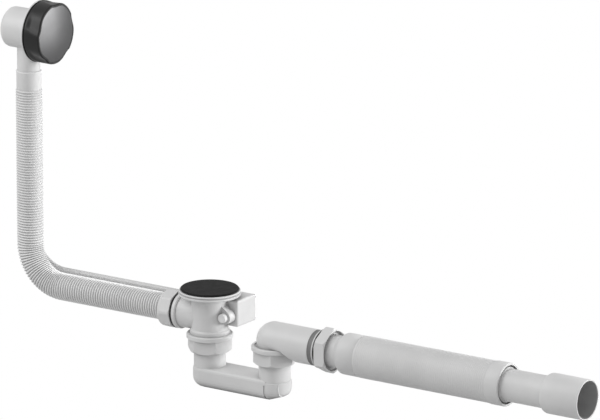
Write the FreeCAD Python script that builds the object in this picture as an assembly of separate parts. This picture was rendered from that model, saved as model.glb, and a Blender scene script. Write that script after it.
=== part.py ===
import FreeCAD, Part
import math
import os

# Bath waste and overflow with a turned control, a flat trap and an expanding outlet pipe.
# Millimetres. Origin on the waste axis where the bath's underside rests, +Z up.
# The overflow stands at -X, the outlet runs out to +X, and the camera side is -Y.

V = FreeCAD.Vector
X, Y, Z = V(1, 0, 0), V(0, 1, 0), V(0, 0, 1)

# Main layout
overflow_height = 295.0
overflow_reach = 273.0
branch_drop = 31.0
trap_span = 97.0
outlet_drop = 46.0
outlet_mouth_x = 551.0

# Clearances
running = 0.05
working = 0.3
thread_play = 0.1

# Roundings smaller than this are made as plain chamfers
chamfer_limit = 1.3

# Waste fitting
flange_radius = 38.3
flange_thick = 2.4
throat_radius = 18.4
guide_stub_radius = 20.1
guide_stub_length = 12.0
dish_radius = 31.0
dish_depth = 3.6
hub_radius = 7.0
hub_length = 8.0
spoke_width = 3.0
bath_seal_thick = 1.0
bath_seal_radius = 37.6
body_flange_radius = 38.7
body_flange_thick = 3.0
body_radius = 23.0
body_bore = guide_stub_radius + thread_play
body_bead_radius = 24.7
body_bead_top = 48.6
body_bead_height = 5.0

# Plug
plug_radius = 36.5
plug_thick = 2.3
stem_radius = 4.0
stem_head_radius = 5.4
stem_head_length = 3.8
stem_nose_radius = 1.6
stem_nose_height = 2.0
plug_seal_radius = 26.0
plug_seal_section = 1.6
stem_nut_radius = 6.5
stem_nut_thick = 3.0

# Lift lever
shaft_x = 26.0
shaft_drop = 28.3
shaft_radius = 3.0
lever_swing = 22.0
lever_width = 6.0
lever_hub_radius = 5.4
lever_nose_radius = 2.5
lever_arm_half_depth = 2.2
crank_radius = 9.5
crank_thick = 2.7
crank_pin_radius = 1.5
shaft_chamber_radius = 6.4
shaft_boss_radius = 8.8
shaft_boss_front = 6.5
shaft_boss_apex_x = 18.7
shaft_boss_apex_drop = 12.5
shaft_plug_radius = 5.8
shaft_plug_front = 13.0
shaft_plug_spigot = 1.9
shaft_seal_radius = 5.0
shaft_seal_thick = 2.0

# Mechanism box
box_left = -2.0
box_right = 38.0
box_front = 5.0
box_back = 45.0
box_top_drop = 8.2
box_bottom_drop = 42.0
box_wall = 2.0
box_edge = 2.6
cover_screw_inset = 3.6
cover_screw_radius = 1.5
cover_screw_head = 2.9
cover_screw_length = 9.0

# Bowden cable
cable_y = 29.0
sheath_radius = 3.5
sheath_bore = 1.2
wire_radius = 0.75
sheath_low_bend = 45.0
sheath_high_bend = 22.0
cable_gland_radius = 4.8
cable_gland_length = 12.0
fork_block = 7.4
fork_slot_play = 0.3
fork_thick = 4.0
fork_wire_reach = 4.0
fork_wire_back = 9.0
wire_plane_back = 12.3

# Hose branch and hose
branch_radius = 20.5
branch_bore = 10.5
branch_bead_radius = 22.8
branch_bead_start = 37.8
branch_bead_end = 43.9
branch_stub_radius = 15.2
branch_stub_end = 56.0
hose_nut_radius = 24.0
hose_nut_sides = 8
hose_nut_corner_radius = 24.6
hose_nut_near = 46.4
hose_nut_far = 65.0
hose_nut_shoulder = 5.0
hose_seal_radius = 21.4
hose_seal_thick = 2.4
hose_crest = 16.8
hose_root = 15.2
hose_bore = 13.4
hose_pitch = 9.0
hose_bend = 50.0
hose_cuff_radius = 17.2
hose_cuff_length = 15.0
cuff_radius = 15.6
cuff_top_drop = 52.5
cuff_length = 24.0

# Overflow head
housing_radius = 25.4
housing_rear = 27.0
housing_round = 5.0
housing_wall = 2.4
housing_flange_radius = 39.4
housing_flange_thick = 2.4
housing_flange_front = 18.4
down_tube_radius = 14.5
down_tube_bore = 11.2
down_spigot_radius = hose_bore - thread_play
overflow_seal_thick = 1.2
overflow_seal_radius = 39.0
plate_radius = 34.0
plate_thick = 2.6
plate_bush_radius = 8.0
plate_bush_length = 9.0
plate_slot_inner = 12.0
plate_slot_outer = 21.0
plate_slot_count = 6
overflow_screw_pitch = 30.0
overflow_screw_radius = 2.0
overflow_screw_head = 4.0
overflow_screw_length = 8.0
head_gland_radius = 6.4
head_gland_far = 34.0
sheath_start = 22.0

# Control knob
knob_radius = 39.0
knob_length = 22.4
knob_wall = 2.4
knob_chamfer = 1.5
knob_face_radius = 35.6
knob_face_thick = 1.3
knob_face_dome = 2.4
knob_boss_radius = 7.5
knob_spindle_radius = 4.0
knob_notch_count = 3
knob_notch_angle = 26.0
knob_notch_depth = 3.0
knob_turn = 90.0
crank_disc_radius = 7.0
crank_disc_thick = 2.6
clip_radius = 6.6
clip_thick = 1.2

# Union nuts of the trap
union_top_drop = 52.8
union_collar_radius = 29.0
union_collar_height = 5.4
union_corner_radius = 28.2
union_height = 23.0
union_chamfer_height = 3.6
union_chamfer_radius = 24.2
union_sides = 6
thread_radius = 22.2
thread_end_drop = 62.0
washer_thick = 2.5
leg_flange_thick = 3.0
leg_radius = 19.9
leg_wall = 2.3

# Trap duct
duct_half_width = 21.0
duct_top_drop = 94.0
duct_bottom_drop = 121.0
duct_low_round = 13.0
duct_top_round = 4.0
duct_wall = 2.5
duct_end = 96.6
union_turn = -11.0
far_union_turn = 24.0
foot_radius = 20.9
foot_top_drop = 97.0
foot_bottom_drop = 117.0
foot_groove_start = 94.2
foot_groove_width = 2.4
foot_groove_depth = 0.9
foot_groove_top_drop = 100.5
foot_taper_length = 16.0
foot_taper_side = 6.0
foot_taper_rise = 5.0
foot_round = 10.0

# Outlet elbow and its nut
elbow_radius = 22.5
elbow_wall = 2.2
elbow_end = 159.0
elbow_thread_radius = 21.3
elbow_thread_end = 176.0
elbow_shoulder_drop = 52.3
elbow_shoulder_reach = 31.0
elbow_slope_reach = 42.0
elbow_band_radius = 22.0
clamp_ring_radius = 24.4
clamp_ring_start = 166.3
clamp_ring_thick = 2.1
elbow_nut_corner_radius = 29.0
elbow_nut_start = 171.4
elbow_nut_length = 14.8
elbow_nut_chamfer = 1.8
elbow_nut_recess_radius = 25.0
elbow_nut_recess = 5.0

# Expanding pipe
pipe_radius = 20.2
pipe_wall = 2.0
pipe_start = 142.0
start_flare = 195.0
start_collar = 205.0
start_collar_radius = 25.8
fold_start = 229.0
fold_end = 418.0
fold_crest = 26.1
fold_root = 24.7
fold_bore = 23.2
fold_pitch = 9.0
end_collar_radius = 26.8
end_collar_end = 438.5
end_collar_recess_radius = 24.0
end_collar_recess = 5.0

# End connector
connector_start = 425.0
connector_radius = 20.0
connector_wall = 2.2
connector_flare_start = 496.0
connector_flare_end = 503.0
socket_radius = 25.0
socket_bore = 23.2
socket_depth = 44.0
end_seal_radius = 23.6
end_seal_thick = 2.6
end_ring_radius = 21.8
end_ring_thick = 2.0

# Places worked out from the layout
branch_z = -branch_drop
outlet_z = -outlet_drop
shaft_z = -shaft_drop
half_swing = math.radians(lever_swing / 2)
lever_reach = shaft_x
plug_lift = 2 * lever_reach * math.sin(half_swing)
wire_travel = 2 * crank_radius * math.sin(half_swing)
knob_half_turn = math.radians(knob_turn / 2)
crank_throw = wire_travel / (2 * math.sin(knob_half_turn))
wire_z = shaft_z + crank_radius * (1 + math.cos(half_swing)) / 2
hose_x = -overflow_reach
housing_front_x = hose_x + housing_flange_front
seal_front_x = housing_front_x + overflow_seal_thick
knob_back_x = seal_front_x + 2 * working
knob_front_x = knob_back_x + knob_length
housing_rear_x = hose_x - housing_rear
wire_plane_x = hose_x - wire_plane_back
plug_bottom = flange_thick + working
stem_bottom = shaft_z - lever_reach * math.sin(half_swing) + lever_nose_radius + working
body_bottom = -thread_end_drop
leg_top = -thread_end_drop - washer_thick
box_top = -box_top_drop
box_bottom = -box_bottom_drop


def corner_wire(points):
    """Closed outline from (a, b) or (a, b, radius) points in the XZ plane, eased at each radius.
    A small radius is a plain chamfer and a larger one is a few short runs."""
    count = len(points)
    spots = [V(point[0], 0, point[1]) for point in points]
    stops = []
    for index, point in enumerate(points):
        radius = point[2] if len(point) > 2 else 0
        here = spots[index]
        if radius <= 0:
            stops.append((here, here))
            continue
        back = (spots[index - 1] - here).normalize()
        ahead = (spots[(index + 1) % count] - here).normalize()
        half = back.getAngle(ahead) / 2
        reach = radius / math.tan(half)
        middle = (back + ahead).normalize()
        centre = here + middle * (radius / math.sin(half))
        runs = 1 if radius < chamfer_limit else 2 + int(radius // 3)
        first, last = here + back * reach, here + ahead * reach
        turn = (first - centre).getAngle(last - centre)
        ease = [first]
        for step in range(1, runs):
            share = step / runs
            blend = (first - centre) * math.sin(turn * (1 - share)) + (last - centre) * math.sin(turn * share)
            ease.append(centre + blend * (1 / math.sin(turn)))
        stops.append(tuple(ease + [last]))
    edges = []
    for index, ease in enumerate(stops):
        for begin, finish in zip(ease[:-1], ease[1:]):
            if begin.distanceToPoint(finish) > 1e-6:
                edges.append(Part.LineSegment(begin, finish).toShape())
        end = ease[-1]
        following = stops[(index + 1) % count][0]
        if end.distanceToPoint(following) > 1e-6:
            edges.append(Part.LineSegment(end, following).toShape())
    return Part.Wire(edges)


def turned(points, base=V(0, 0, 0), along=Z):
    """Solid of revolution from (radius, distance along the axis) points."""
    solid = Part.Face(corner_wire(points)).revolve(V(0, 0, 0), Z, 360)
    solid.Placement = FreeCAD.Placement(base, FreeCAD.Rotation(Z, along))
    return solid


def rod(radius, start, end):
    """Plain round bar between two points."""
    way = end - start
    return Part.makeCylinder(radius, way.Length, start, way)


def tube(outer, inner, start, end):
    way = end - start
    spare = way.normalize() * 1.0
    return rod(outer, start, end).cut(rod(inner, start - spare, end + spare))


def block(low, high):
    """Plain box between two corners."""
    size = [high[i] - low[i] for i in range(3)]
    return Part.makeBox(size[0], size[1], size[2], V(*low))


def join(first, *others):
    return first.fuse(list(others)).removeSplitter()


def prism(corner_radius, sides, start, along, length, turn=0.0):
    """Regular prism whose flats face the row's axes when turn is zero."""
    step = 2 * math.pi / sides
    corners = []
    for index in range(sides + 1):
        angle = (index + 0.5) * step + turn
        corners.append(V(corner_radius * math.cos(angle), corner_radius * math.sin(angle), 0))
    solid = Part.Face(Part.makePolygon(corners)).extrude(Z * length)
    solid.Placement = FreeCAD.Placement(start, FreeCAD.Rotation(Z, along))
    return solid


def ribbed(radius_a, radius_b, start, count, half_pitch):
    """Profile points of a row of V ribs, running upward from start."""
    points = []
    for index in range(2 * count + 1):
        points.append((radius_b if index % 2 == 0 else radius_a, start + index * half_pitch))
    return points


# Waste fitting

def waste_flange():
    """Upper flange with its dished throat, threaded stub and the crossed guide for the stem."""
    edge = 0.8
    low = -guide_stub_length
    shell = turned([
        (throat_radius, low), (guide_stub_radius, low), (guide_stub_radius, 0),
        (flange_radius, 0, edge), (flange_radius, flange_thick, edge),
        (dish_radius, flange_thick, 1.0), (throat_radius, flange_thick - dish_depth, 1.0)])
    hub_top = flange_thick - dish_depth
    hub = rod(hub_radius, V(0, 0, hub_top - hub_length), V(0, 0, hub_top))
    reach = (throat_radius + guide_stub_radius) / 2
    spoke_low = hub_top - hub_length * 0.6
    spokes = []
    for along_x in (True, False):
        half = (reach, spoke_width / 2) if along_x else (spoke_width / 2, reach)
        spokes.append(block((-half[0], -half[1], spoke_low), (half[0], half[1], hub_top)))
    cross = join(hub, *spokes)
    cross.rotate(V(0, 0, 0), Z, 45)
    bore = rod(stem_radius + running, V(0, 0, -guide_stub_length * 2), V(0, 0, flange_thick))
    return join(shell, cross).cut(bore)


def bath_seal():
    return tube(bath_seal_radius, guide_stub_radius + working, V(0, 0, -bath_seal_thick), V(0, 0, 0))


def shaft_boss_outline(radius):
    """Teardrop around the shaft, pointed at the top, in the plane of the boss's front face."""
    centre = V(shaft_x, 0, shaft_z)
    apex = V(shaft_boss_apex_x, 0, -shaft_boss_apex_drop)
    away = apex - centre
    distance = away.Length
    lean = math.atan2(away.z, away.x)
    spread = math.acos(radius / distance)
    first = centre + V(math.cos(lean + spread), 0, math.sin(lean + spread)) * radius
    last = centre + V(math.cos(lean - spread), 0, math.sin(lean - spread)) * radius
    below = centre - away.normalize() * radius
    edges = [
        Part.Arc(first, below, last).toShape(),
        Part.LineSegment(last, apex).toShape(),
        Part.LineSegment(apex, first).toShape()]
    return Part.Wire(edges)


def waste_body():
    """Tee under the bath: flange, barrel, threaded foot, hose branch and the boss of the lift shaft."""
    top = -bath_seal_thick
    flange_low = top - body_flange_thick
    bead_low = -body_bead_top - body_bead_height
    barrel = turned([
        (0, top), (body_flange_radius, top, 0.6), (body_flange_radius, flange_low, 0.9),
        (body_radius, flange_low, 2.0), (body_radius, -body_bead_top + 2.0, 1.5),
        (body_bead_radius, -body_bead_top, 0.8), (body_bead_radius, bead_low, 0.8),
        (thread_radius, bead_low), (thread_radius, body_bottom, 0.5), (0, body_bottom)])
    branch = turned([
        (0, 0), (branch_radius, 0), (branch_radius, branch_bead_start),
        (branch_bead_radius, branch_bead_start, 1.2), (branch_bead_radius, branch_bead_end, 1.2),
        (branch_stub_radius, branch_bead_end), (branch_stub_radius, branch_stub_end, 0.6),
        (0, branch_stub_end)], V(0, 0, branch_z), -X)
    boss = Part.Face(shaft_boss_outline(shaft_boss_radius)).extrude(Y * (shaft_boss_front + box_front))
    boss.translate(-Y * shaft_boss_front)
    chamber_half = lever_width / 2 + 0.8
    bore = rod(body_bore, V(0, 0, body_bottom - 1), V(0, 0, 1))
    branch_way = rod(branch_bore, V(-branch_stub_end - 1, 0, branch_z), V(0, 0, branch_z))
    chamber = rod(shaft_chamber_radius, V(shaft_x, -chamber_half, shaft_z), V(shaft_x, chamber_half, shaft_z))
    window = block(
        (0, -chamber_half, shaft_z - shaft_chamber_radius),
        (shaft_x, chamber_half, shaft_z + shaft_chamber_radius - 1))
    plug_hole = rod(shaft_radius + shaft_plug_spigot, V(shaft_x, -shaft_boss_front - 1, shaft_z),
                    V(shaft_x, 0, shaft_z))
    shaft_hole = rod(shaft_radius + running, V(shaft_x, 0, shaft_z), V(shaft_x, box_front + 1, shaft_z))
    plug_room = rod(shaft_plug_radius + thread_play, V(shaft_x, -shaft_boss_front - 10, shaft_z),
                    V(shaft_x, -shaft_boss_front, shaft_z))
    solid = join(barrel, branch, boss)
    return solid.cut([bore, branch_way, chamber, window, plug_hole, plug_room, shaft_hole])


def shaft_plug():
    """Closed front bearing of the lift shaft, with its spigot in the boss."""
    face = -shaft_boss_front
    spigot_end = -lever_width / 2 - 0.8
    start = V(shaft_x, 0, shaft_z)
    body = turned([
        (0, -shaft_plug_front), (shaft_plug_radius, -shaft_plug_front, 1.6), (shaft_plug_radius, face),
        (shaft_radius + shaft_plug_spigot, face), (shaft_radius + shaft_plug_spigot, spigot_end),
        (0, spigot_end)], start, Y)
    bore = rod(shaft_radius + running, start - Y * (shaft_plug_front - 2.2), start)
    return body.cut(bore)


# Plug

def plug_disc():
    low = plug_bottom
    return turned([(0, low), (plug_radius, low, 0.7), (plug_radius, low + plug_thick, 1.2),
                   (0, low + plug_thick)])


def plug_seal():
    """Flexible sealing ring hung under the disc in the flange's dish."""
    inner = plug_seal_radius - 2 * plug_seal_section
    top = plug_bottom
    return turned([(inner, top - plug_seal_section), (plug_seal_radius - 1.2, top - plug_seal_section, 0.5),
                   (plug_seal_radius, top), (inner, top)])


def plug_stem():
    """Guided stem with the head that the lever lifts."""
    return turned([
        (0, stem_bottom), (stem_nose_radius, stem_bottom), (stem_head_radius, stem_bottom + stem_nose_height),
        (stem_head_radius, stem_bottom + stem_head_length),
        (stem_radius, stem_bottom + stem_head_length), (stem_radius, plug_bottom), (0, plug_bottom)])


# Lift lever

def lever_shaft():
    start = V(shaft_x, -shaft_plug_front + 2.4 + working, shaft_z)
    end = V(shaft_x, cable_y + 2.0, shaft_z)
    return rod(shaft_radius, start, end)


def lift_lever():
    """Arm inside the waste, clamped on the shaft, with a round nose under the stem."""
    centre = V(shaft_x, 0, shaft_z)
    half = lever_width / 2
    hub = rod(lever_hub_radius, centre - Y * half, centre + Y * half)
    nose = rod(lever_nose_radius, centre - X * lever_reach - Y * half, centre - X * lever_reach + Y * half)
    tip = shaft_x - lever_reach
    outline = [V(shaft_x, 0, shaft_z + lever_hub_radius * 0.8), V(tip, 0, shaft_z + lever_arm_half_depth),
               V(tip, 0, shaft_z - lever_arm_half_depth), V(shaft_x, 0, shaft_z - lever_hub_radius * 0.8)]
    arm = Part.Face(Part.makePolygon(outline + outline[:1])).extrude(Y * lever_width)
    arm.translate(-Y * half)
    lever = join(hub, nose, arm).cut(rod(shaft_radius, centre - Y * lever_width, centre + Y * lever_width))
    lever.rotate(centre, Y, -lever_swing / 2)
    return lever


def crank():
    """Crank on the shaft's end inside the box, with its pin in the lower fork."""
    centre = V(shaft_x, 0, shaft_z)
    back = cable_y - fork_thick / 2 - working
    front = back - crank_thick
    pin_spot = centre + Z * crank_radius
    plate = join(
        rod(lever_hub_radius, centre + Y * front, centre + Y * back),
        rod(crank_pin_radius + 1.4, pin_spot + Y * front, pin_spot + Y * back),
        block((shaft_x - crank_pin_radius - 1.4, front, shaft_z),
              (shaft_x + crank_pin_radius + 1.4, back, shaft_z + crank_radius)))
    pin = rod(crank_pin_radius, pin_spot + Y * front, pin_spot + Y * (back + working + fork_thick + 0.6))
    solid = join(plate, pin).cut(rod(shaft_radius, centre, centre + Y * (cable_y + 5)))
    solid.rotate(centre, Y, -lever_swing / 2)
    return solid


def lower_fork():
    """Slotted end of the cable wire that drives the crank."""
    pin_x = shaft_x - crank_radius * math.sin(half_swing)
    half = fork_block / 2
    low_y = cable_y - fork_thick / 2
    slot = crank_pin_radius + fork_slot_play
    body = block((pin_x - half, low_y, wire_z - half), (pin_x + half, low_y + fork_thick, wire_z + half))
    window = block((pin_x - slot, low_y - 1, wire_z - slot - 0.6),
                   (pin_x + slot, low_y + fork_thick + 1, wire_z + slot + 0.6))
    wire_end = box_left + box_wall - 0.5 - fork_wire_back
    wire = rod(wire_radius, V(wire_end, cable_y, wire_z), V(pin_x - half + 0.5, cable_y, wire_z))
    return join(body.cut(window), wire)


# Mechanism box

def box_block(inset, front=None, back=None):
    low = (box_left + inset, (box_front if front is None else front), box_bottom + inset)
    high = (box_right - inset, (box_back if back is None else back), box_top - inset)
    return block(low, high)


def mechanism_box():
    """Housing of the crank, moulded against the barrel and open at its back."""
    rim = box_back - box_wall
    outer = box_block(0, back=rim)
    soft = [edge for edge in outer.Edges
            if edge.BoundBox.YLength > 1 or edge.BoundBox.YMax < box_front + 0.1]
    outer = outer.makeFillet(box_edge, soft)
    barrel = rod(body_radius, V(0, 0, box_bottom - 1), V(0, 0, 0))
    barrel_wall = rod(body_radius + box_wall, V(0, 0, box_bottom - 1), V(0, 0, 0))
    hollow = box_block(box_wall, front=box_front + box_wall, back=rim + 1).cut(barrel_wall)
    shaft_hole = rod(shaft_radius + running, V(shaft_x, 0, shaft_z), V(shaft_x, cable_y, shaft_z))
    cable_hole = rod(sheath_radius + thread_play, V(box_left - 1, cable_y, wire_z), V(box_left + 5, cable_y, wire_z))
    shell = outer.cut([barrel, hollow, shaft_hole, cable_hole])
    posts = []
    for spot_x, spot_z in cover_screw_spots():
        reach = box_front + box_wall if spot_x > shaft_x else body_radius + box_wall / 2
        post = rod(cover_screw_radius + 1.8, V(spot_x, reach, spot_z), V(spot_x, rim, spot_z))
        posts.append(post)
    holes = [rod(cover_screw_radius, V(x, rim - cover_screw_length, z), V(x, rim + 1, z))
             for x, z in cover_screw_spots()]
    return join(shell, *posts).cut(holes)


def cover_screw_spots():
    inset = cover_screw_inset
    return [(box_left + inset, box_bottom + inset), (box_right - inset, box_bottom + inset),
            (box_left + inset, box_top - inset), (box_right - inset, box_top - inset)]


def mechanism_cover():
    rim = box_back - box_wall
    plate = box_block(0, front=rim)
    soft = [edge for edge in plate.Edges if edge.BoundBox.YMin > rim + 0.1 or edge.BoundBox.YLength > 1]
    plate = plate.makeFillet(box_edge * 0.7, soft)
    holes = [rod(cover_screw_radius + thread_play, V(x, rim - 1, z), V(x, box_back + 1, z))
             for x, z in cover_screw_spots()]
    return plate.cut(holes)


def cover_screws():
    """Four small screws that hold the box's back cover."""
    rim = box_back - box_wall
    screws = []
    for spot_x, spot_z in cover_screw_spots():
        shank_end = rim - cover_screw_length + working
        screws.append(turned([
            (0, shank_end), (cover_screw_radius, shank_end, 0.4), (cover_screw_radius, box_back),
            (cover_screw_head, box_back), (cover_screw_head, box_back + 1.6, 0.6), (0, box_back + 1.6)],
            V(spot_x, 0, spot_z), Y))
    return Part.makeCompound(screws)


# Cable

slant = V(0, math.sqrt(0.5), -math.sqrt(0.5))
across = V(0, math.sqrt(0.5), math.sqrt(0.5))


def head_wire_point(distance):
    """Point of the wire's straight line in the overflow head, from the control's axis outward."""
    side = crank_throw * (1 + math.sin(knob_half_turn)) / 2
    return V(wire_plane_x, 0, overflow_height) - across * side + slant * distance


def cable_path(start_trim=0.0, end_trim=0.0):
    """Straight runs joined by tangent arcs, from the overflow head down and along to the box."""
    start = head_wire_point(sheath_start)
    run = (cable_y - start.y) / slant.y
    high = start + slant * run
    low = V(wire_plane_x, cable_y, wire_z)
    end = V(box_left + box_wall - 0.5, cable_y, wire_z)
    start = start + slant * start_trim
    end = end - X * end_trim
    high_reach = sheath_high_bend * math.tan(math.radians(22.5))
    high_in = high - slant * high_reach
    high_out = high - Z * high_reach
    high_centre = high_out + Y * -sheath_high_bend
    high_mid = high_centre + (high - high_centre).normalize() * sheath_high_bend
    low_in = low + Z * sheath_low_bend
    low_out = low + X * sheath_low_bend
    low_centre = low_in + X * sheath_low_bend
    low_mid = low_centre + (low - low_centre).normalize() * sheath_low_bend
    return Part.Wire([
        Part.LineSegment(start, high_in).toShape(),
        Part.Arc(high_in, high_mid, high_out).toShape(),
        Part.LineSegment(high_out, low_in).toShape(),
        Part.Arc(low_in, low_mid, low_out).toShape(),
        Part.LineSegment(low_out, end).toShape()])


def swept(radius, path):
    """Round bar along a path of straight runs and arcs, made run by run."""
    runs = []
    for edge in path.Edges:
        start = edge.valueAt(edge.FirstParameter)
        end = edge.valueAt(edge.LastParameter)
        if isinstance(edge.Curve, Part.Circle):
            arc = edge.Curve
            heading = edge.tangentAt(edge.FirstParameter)
            disc = Part.Face(Part.Wire(Part.Circle(start, heading, radius).toShape()))
            axis = (start - arc.Center).cross(heading)
            angle = math.degrees((start - arc.Center).getAngle(end - arc.Center))
            runs.append(disc.revolve(arc.Center, axis, angle))
        else:
            runs.append(rod(radius, start, end))
    return join(runs[0], *runs[1:])


def cable_sheath():
    path = cable_path()
    sheath = swept(sheath_radius, path).cut(swept(sheath_bore, path))
    print("cable sheath length", round(path.Length, 1), "bends", sheath_high_bend, sheath_low_bend)
    return sheath


def cable_wire():
    """Middle stretch of the wire, between the two fork ends that slide in the sheath."""
    return swept(wire_radius, cable_path(fork_wire_reach + wire_travel + 2 * working, fork_wire_back + working))


def lower_cable_gland():
    start = V(box_left - cable_gland_length, cable_y, wire_z)
    ring = turned([
        (sheath_radius, 0), (cable_gland_radius - 0.9, 0), (cable_gland_radius, 3.0),
        (cable_gland_radius, cable_gland_length), (sheath_radius, cable_gland_length)], start, X)
    return ring


def upper_cable_gland():
    start = head_wire_point(head_gland_far - 8.0)
    return turned([
        (sheath_radius, 0), (head_gland_radius, 0), (head_gland_radius, 4.0, 0.4),
        (head_gland_radius - 1.4, 4.0), (head_gland_radius - 1.4, 8.0, 0.5),
        (sheath_radius, 8.0)], start, slant)


# Hose

def hose_stations():
    """Centre, heading and radius of each ring of the corrugated stretch, from the top downward."""
    top = overflow_height - cuff_top_drop - cuff_length
    low = branch_z + hose_bend
    near = -hose_nut_far - 1.0
    straight_down = top - low
    quarter = math.pi / 2 * hose_bend
    straight_along = near - (hose_x + hose_bend)
    total = straight_down + quarter + straight_along
    count = 2 * max(1, round(total / hose_pitch))
    stations = []
    for index in range(count + 1):
        distance = total * index / count
        radius = hose_crest if index % 2 else hose_root
        if distance <= straight_down:
            stations.append((V(hose_x, 0, top - distance), -Z, radius))
        elif distance <= straight_down + quarter:
            angle = (distance - straight_down) / hose_bend
            centre = V(hose_x + hose_bend * (1 - math.cos(angle)), 0, low - hose_bend * math.sin(angle))
            stations.append((centre, V(math.sin(angle), 0, -math.cos(angle)), radius))
        else:
            stations.append((V(near - total + distance, 0, branch_z), X, radius))
    return stations


def ring_wire(centre, heading, radius):
    """Circle that always starts at the same side, so that neighbouring rings line up."""
    sideways = Y.cross(heading)
    turn = FreeCAD.Rotation(sideways, Y, heading, "ZXY")
    circle = Part.makeCircle(radius)
    circle.Placement = FreeCAD.Placement(centre, turn)
    return Part.Wire(circle)


def overflow_hose():
    """Corrugated hose with a smooth cuff at the overflow and a plain sleeve in the hose nut."""
    rings = [ring_wire(*station) for station in hose_stations()]
    ribs = Part.makeLoft(rings, True, True)
    top = overflow_height - cuff_top_drop
    cuff_low = top - cuff_length
    cuff = turned([
        (0, cuff_low), (hose_root, cuff_low), (cuff_radius, cuff_low + 1.0), (cuff_radius, top - 2.4),
        (cuff_radius + 0.7, top - 1.2), (cuff_radius, top), (0, top)], V(hose_x, 0, 0), Z)
    near = -hose_nut_far - 1.0
    sleeve_start = -hose_nut_far + 1.2
    sleeve_end = sleeve_start + hose_cuff_length
    link = rod(hose_root, V(near, 0, branch_z), V(sleeve_start, 0, branch_z))
    sleeve = rod(hose_cuff_radius, V(sleeve_start, 0, branch_z), V(sleeve_end, 0, branch_z))
    low = branch_z + hose_bend
    turn_mid = V(hose_x + hose_bend, 0, low) - V(math.sqrt(0.5), 0, math.sqrt(0.5)) * hose_bend
    path = Part.Wire([
        Part.LineSegment(V(hose_x, 0, top + 1), V(hose_x, 0, low)).toShape(),
        Part.Arc(V(hose_x, 0, low), turn_mid, V(hose_x + hose_bend, 0, branch_z)).toShape(),
        Part.LineSegment(V(hose_x + hose_bend, 0, branch_z), V(sleeve_end + 1, 0, branch_z)).toShape()])
    sleeve_bore = rod(branch_stub_radius + thread_play, V(-branch_stub_end - working, 0, branch_z),
                      V(sleeve_end + 1, 0, branch_z))
    body = ribs.fuse([cuff, link, sleeve])
    return body.cut([swept(hose_bore, path), sleeve_bore])


def hose_nut():
    """Eight-sided nut with a rounded shoulder that holds the hose on the branch."""
    near, far = hose_nut_near, hose_nut_far
    axis = V(0, 0, branch_z)
    shoulder = hose_nut_shoulder
    outer = turned([
        (0, far), (hose_nut_radius - shoulder * 0.4, far, 1.4), (hose_nut_radius, far - shoulder, 4.0),
        (hose_nut_radius, near, 0.8), (0, near)], axis, -X)
    flats = prism(hose_nut_corner_radius, hose_nut_sides, axis - X * far, X, far - near, math.pi / hose_nut_sides)
    lip = far - 1.2
    way = turned([
        (0, far + 1), (hose_crest + thread_play, far + 1), (hose_crest + thread_play, lip),
        (hose_cuff_radius + thread_play, lip), (hose_cuff_radius + thread_play, near - 1), (0, near - 1)], axis, -X)
    return outer.common(flats).cut(way)


def hose_seal():
    near = branch_bead_end
    return turned([
        (branch_stub_radius, near), (hose_seal_radius, near, 0.5),
        (hose_seal_radius, near + hose_seal_thick), (branch_stub_radius, near + hose_seal_thick)],
        V(0, 0, branch_z), -X)


# Overflow head

def overflow_housing():
    """Rear housing with its wall flange, down tube and the inclined seat of the cable gland."""
    axis = V(0, 0, overflow_height)
    rear, front = housing_rear_x, housing_front_x
    flange_back = front - housing_flange_thick
    shell = turned([
        (0, rear), (housing_radius, rear, housing_round), (housing_radius, flange_back, 1.0),
        (housing_flange_radius, flange_back, 0.6), (housing_flange_radius, front, 0.4), (0, front)], axis, X)
    hollow = turned([
        (0, rear + housing_wall), (housing_radius - housing_wall, rear + housing_wall, housing_round - 2.0),
        (housing_radius - housing_wall, front + 1), (0, front + 1)], axis, X)
    tube_low = overflow_height - cuff_top_drop
    spigot_low = tube_low - cuff_length + 3.0
    down = turned([
        (0, spigot_low), (down_spigot_radius, spigot_low, 0.5), (down_spigot_radius, tube_low),
        (down_tube_radius, tube_low), (down_tube_radius, overflow_height), (0, overflow_height)],
        V(hose_x, 0, 0), Z)
    down_way = rod(down_tube_bore, V(hose_x, 0, spigot_low - 1), V(hose_x, 0, overflow_height))
    gland_seat = rod(head_gland_radius, head_wire_point(housing_radius - 6.0),
                     head_wire_point(head_gland_far - 8.0))
    gland_way = rod(sheath_radius + thread_play, head_wire_point(sheath_start - working),
                    head_wire_point(head_gland_far))
    wire_way = rod(wire_radius + 1.6, head_wire_point(8.0), head_wire_point(head_gland_far))
    bosses = []
    holes = []
    for side in (-1, 1):
        spot = V(0, side * overflow_screw_pitch, overflow_height)
        bosses.append(rod(overflow_screw_head, spot + X * (flange_back - 3.0), spot + X * flange_back))
        holes.append(rod(overflow_screw_radius, spot + X * (flange_back - 2.4), spot + X * (front + 1)))
    solid = join(shell, down, gland_seat, *bosses)
    return solid.cut([hollow, down_way, gland_way, wire_way] + holes)


def overflow_seal():
    start, end = V(housing_front_x, 0, overflow_height), V(seal_front_x, 0, overflow_height)
    ring = tube(overflow_seal_radius, housing_radius - housing_wall, start, end)
    holes = []
    for side in (-1, 1):
        shift = Y * side * overflow_screw_pitch
        holes.append(rod(overflow_screw_radius + thread_play, start + shift - X, end + shift + X))
    return ring.cut(holes)


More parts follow.
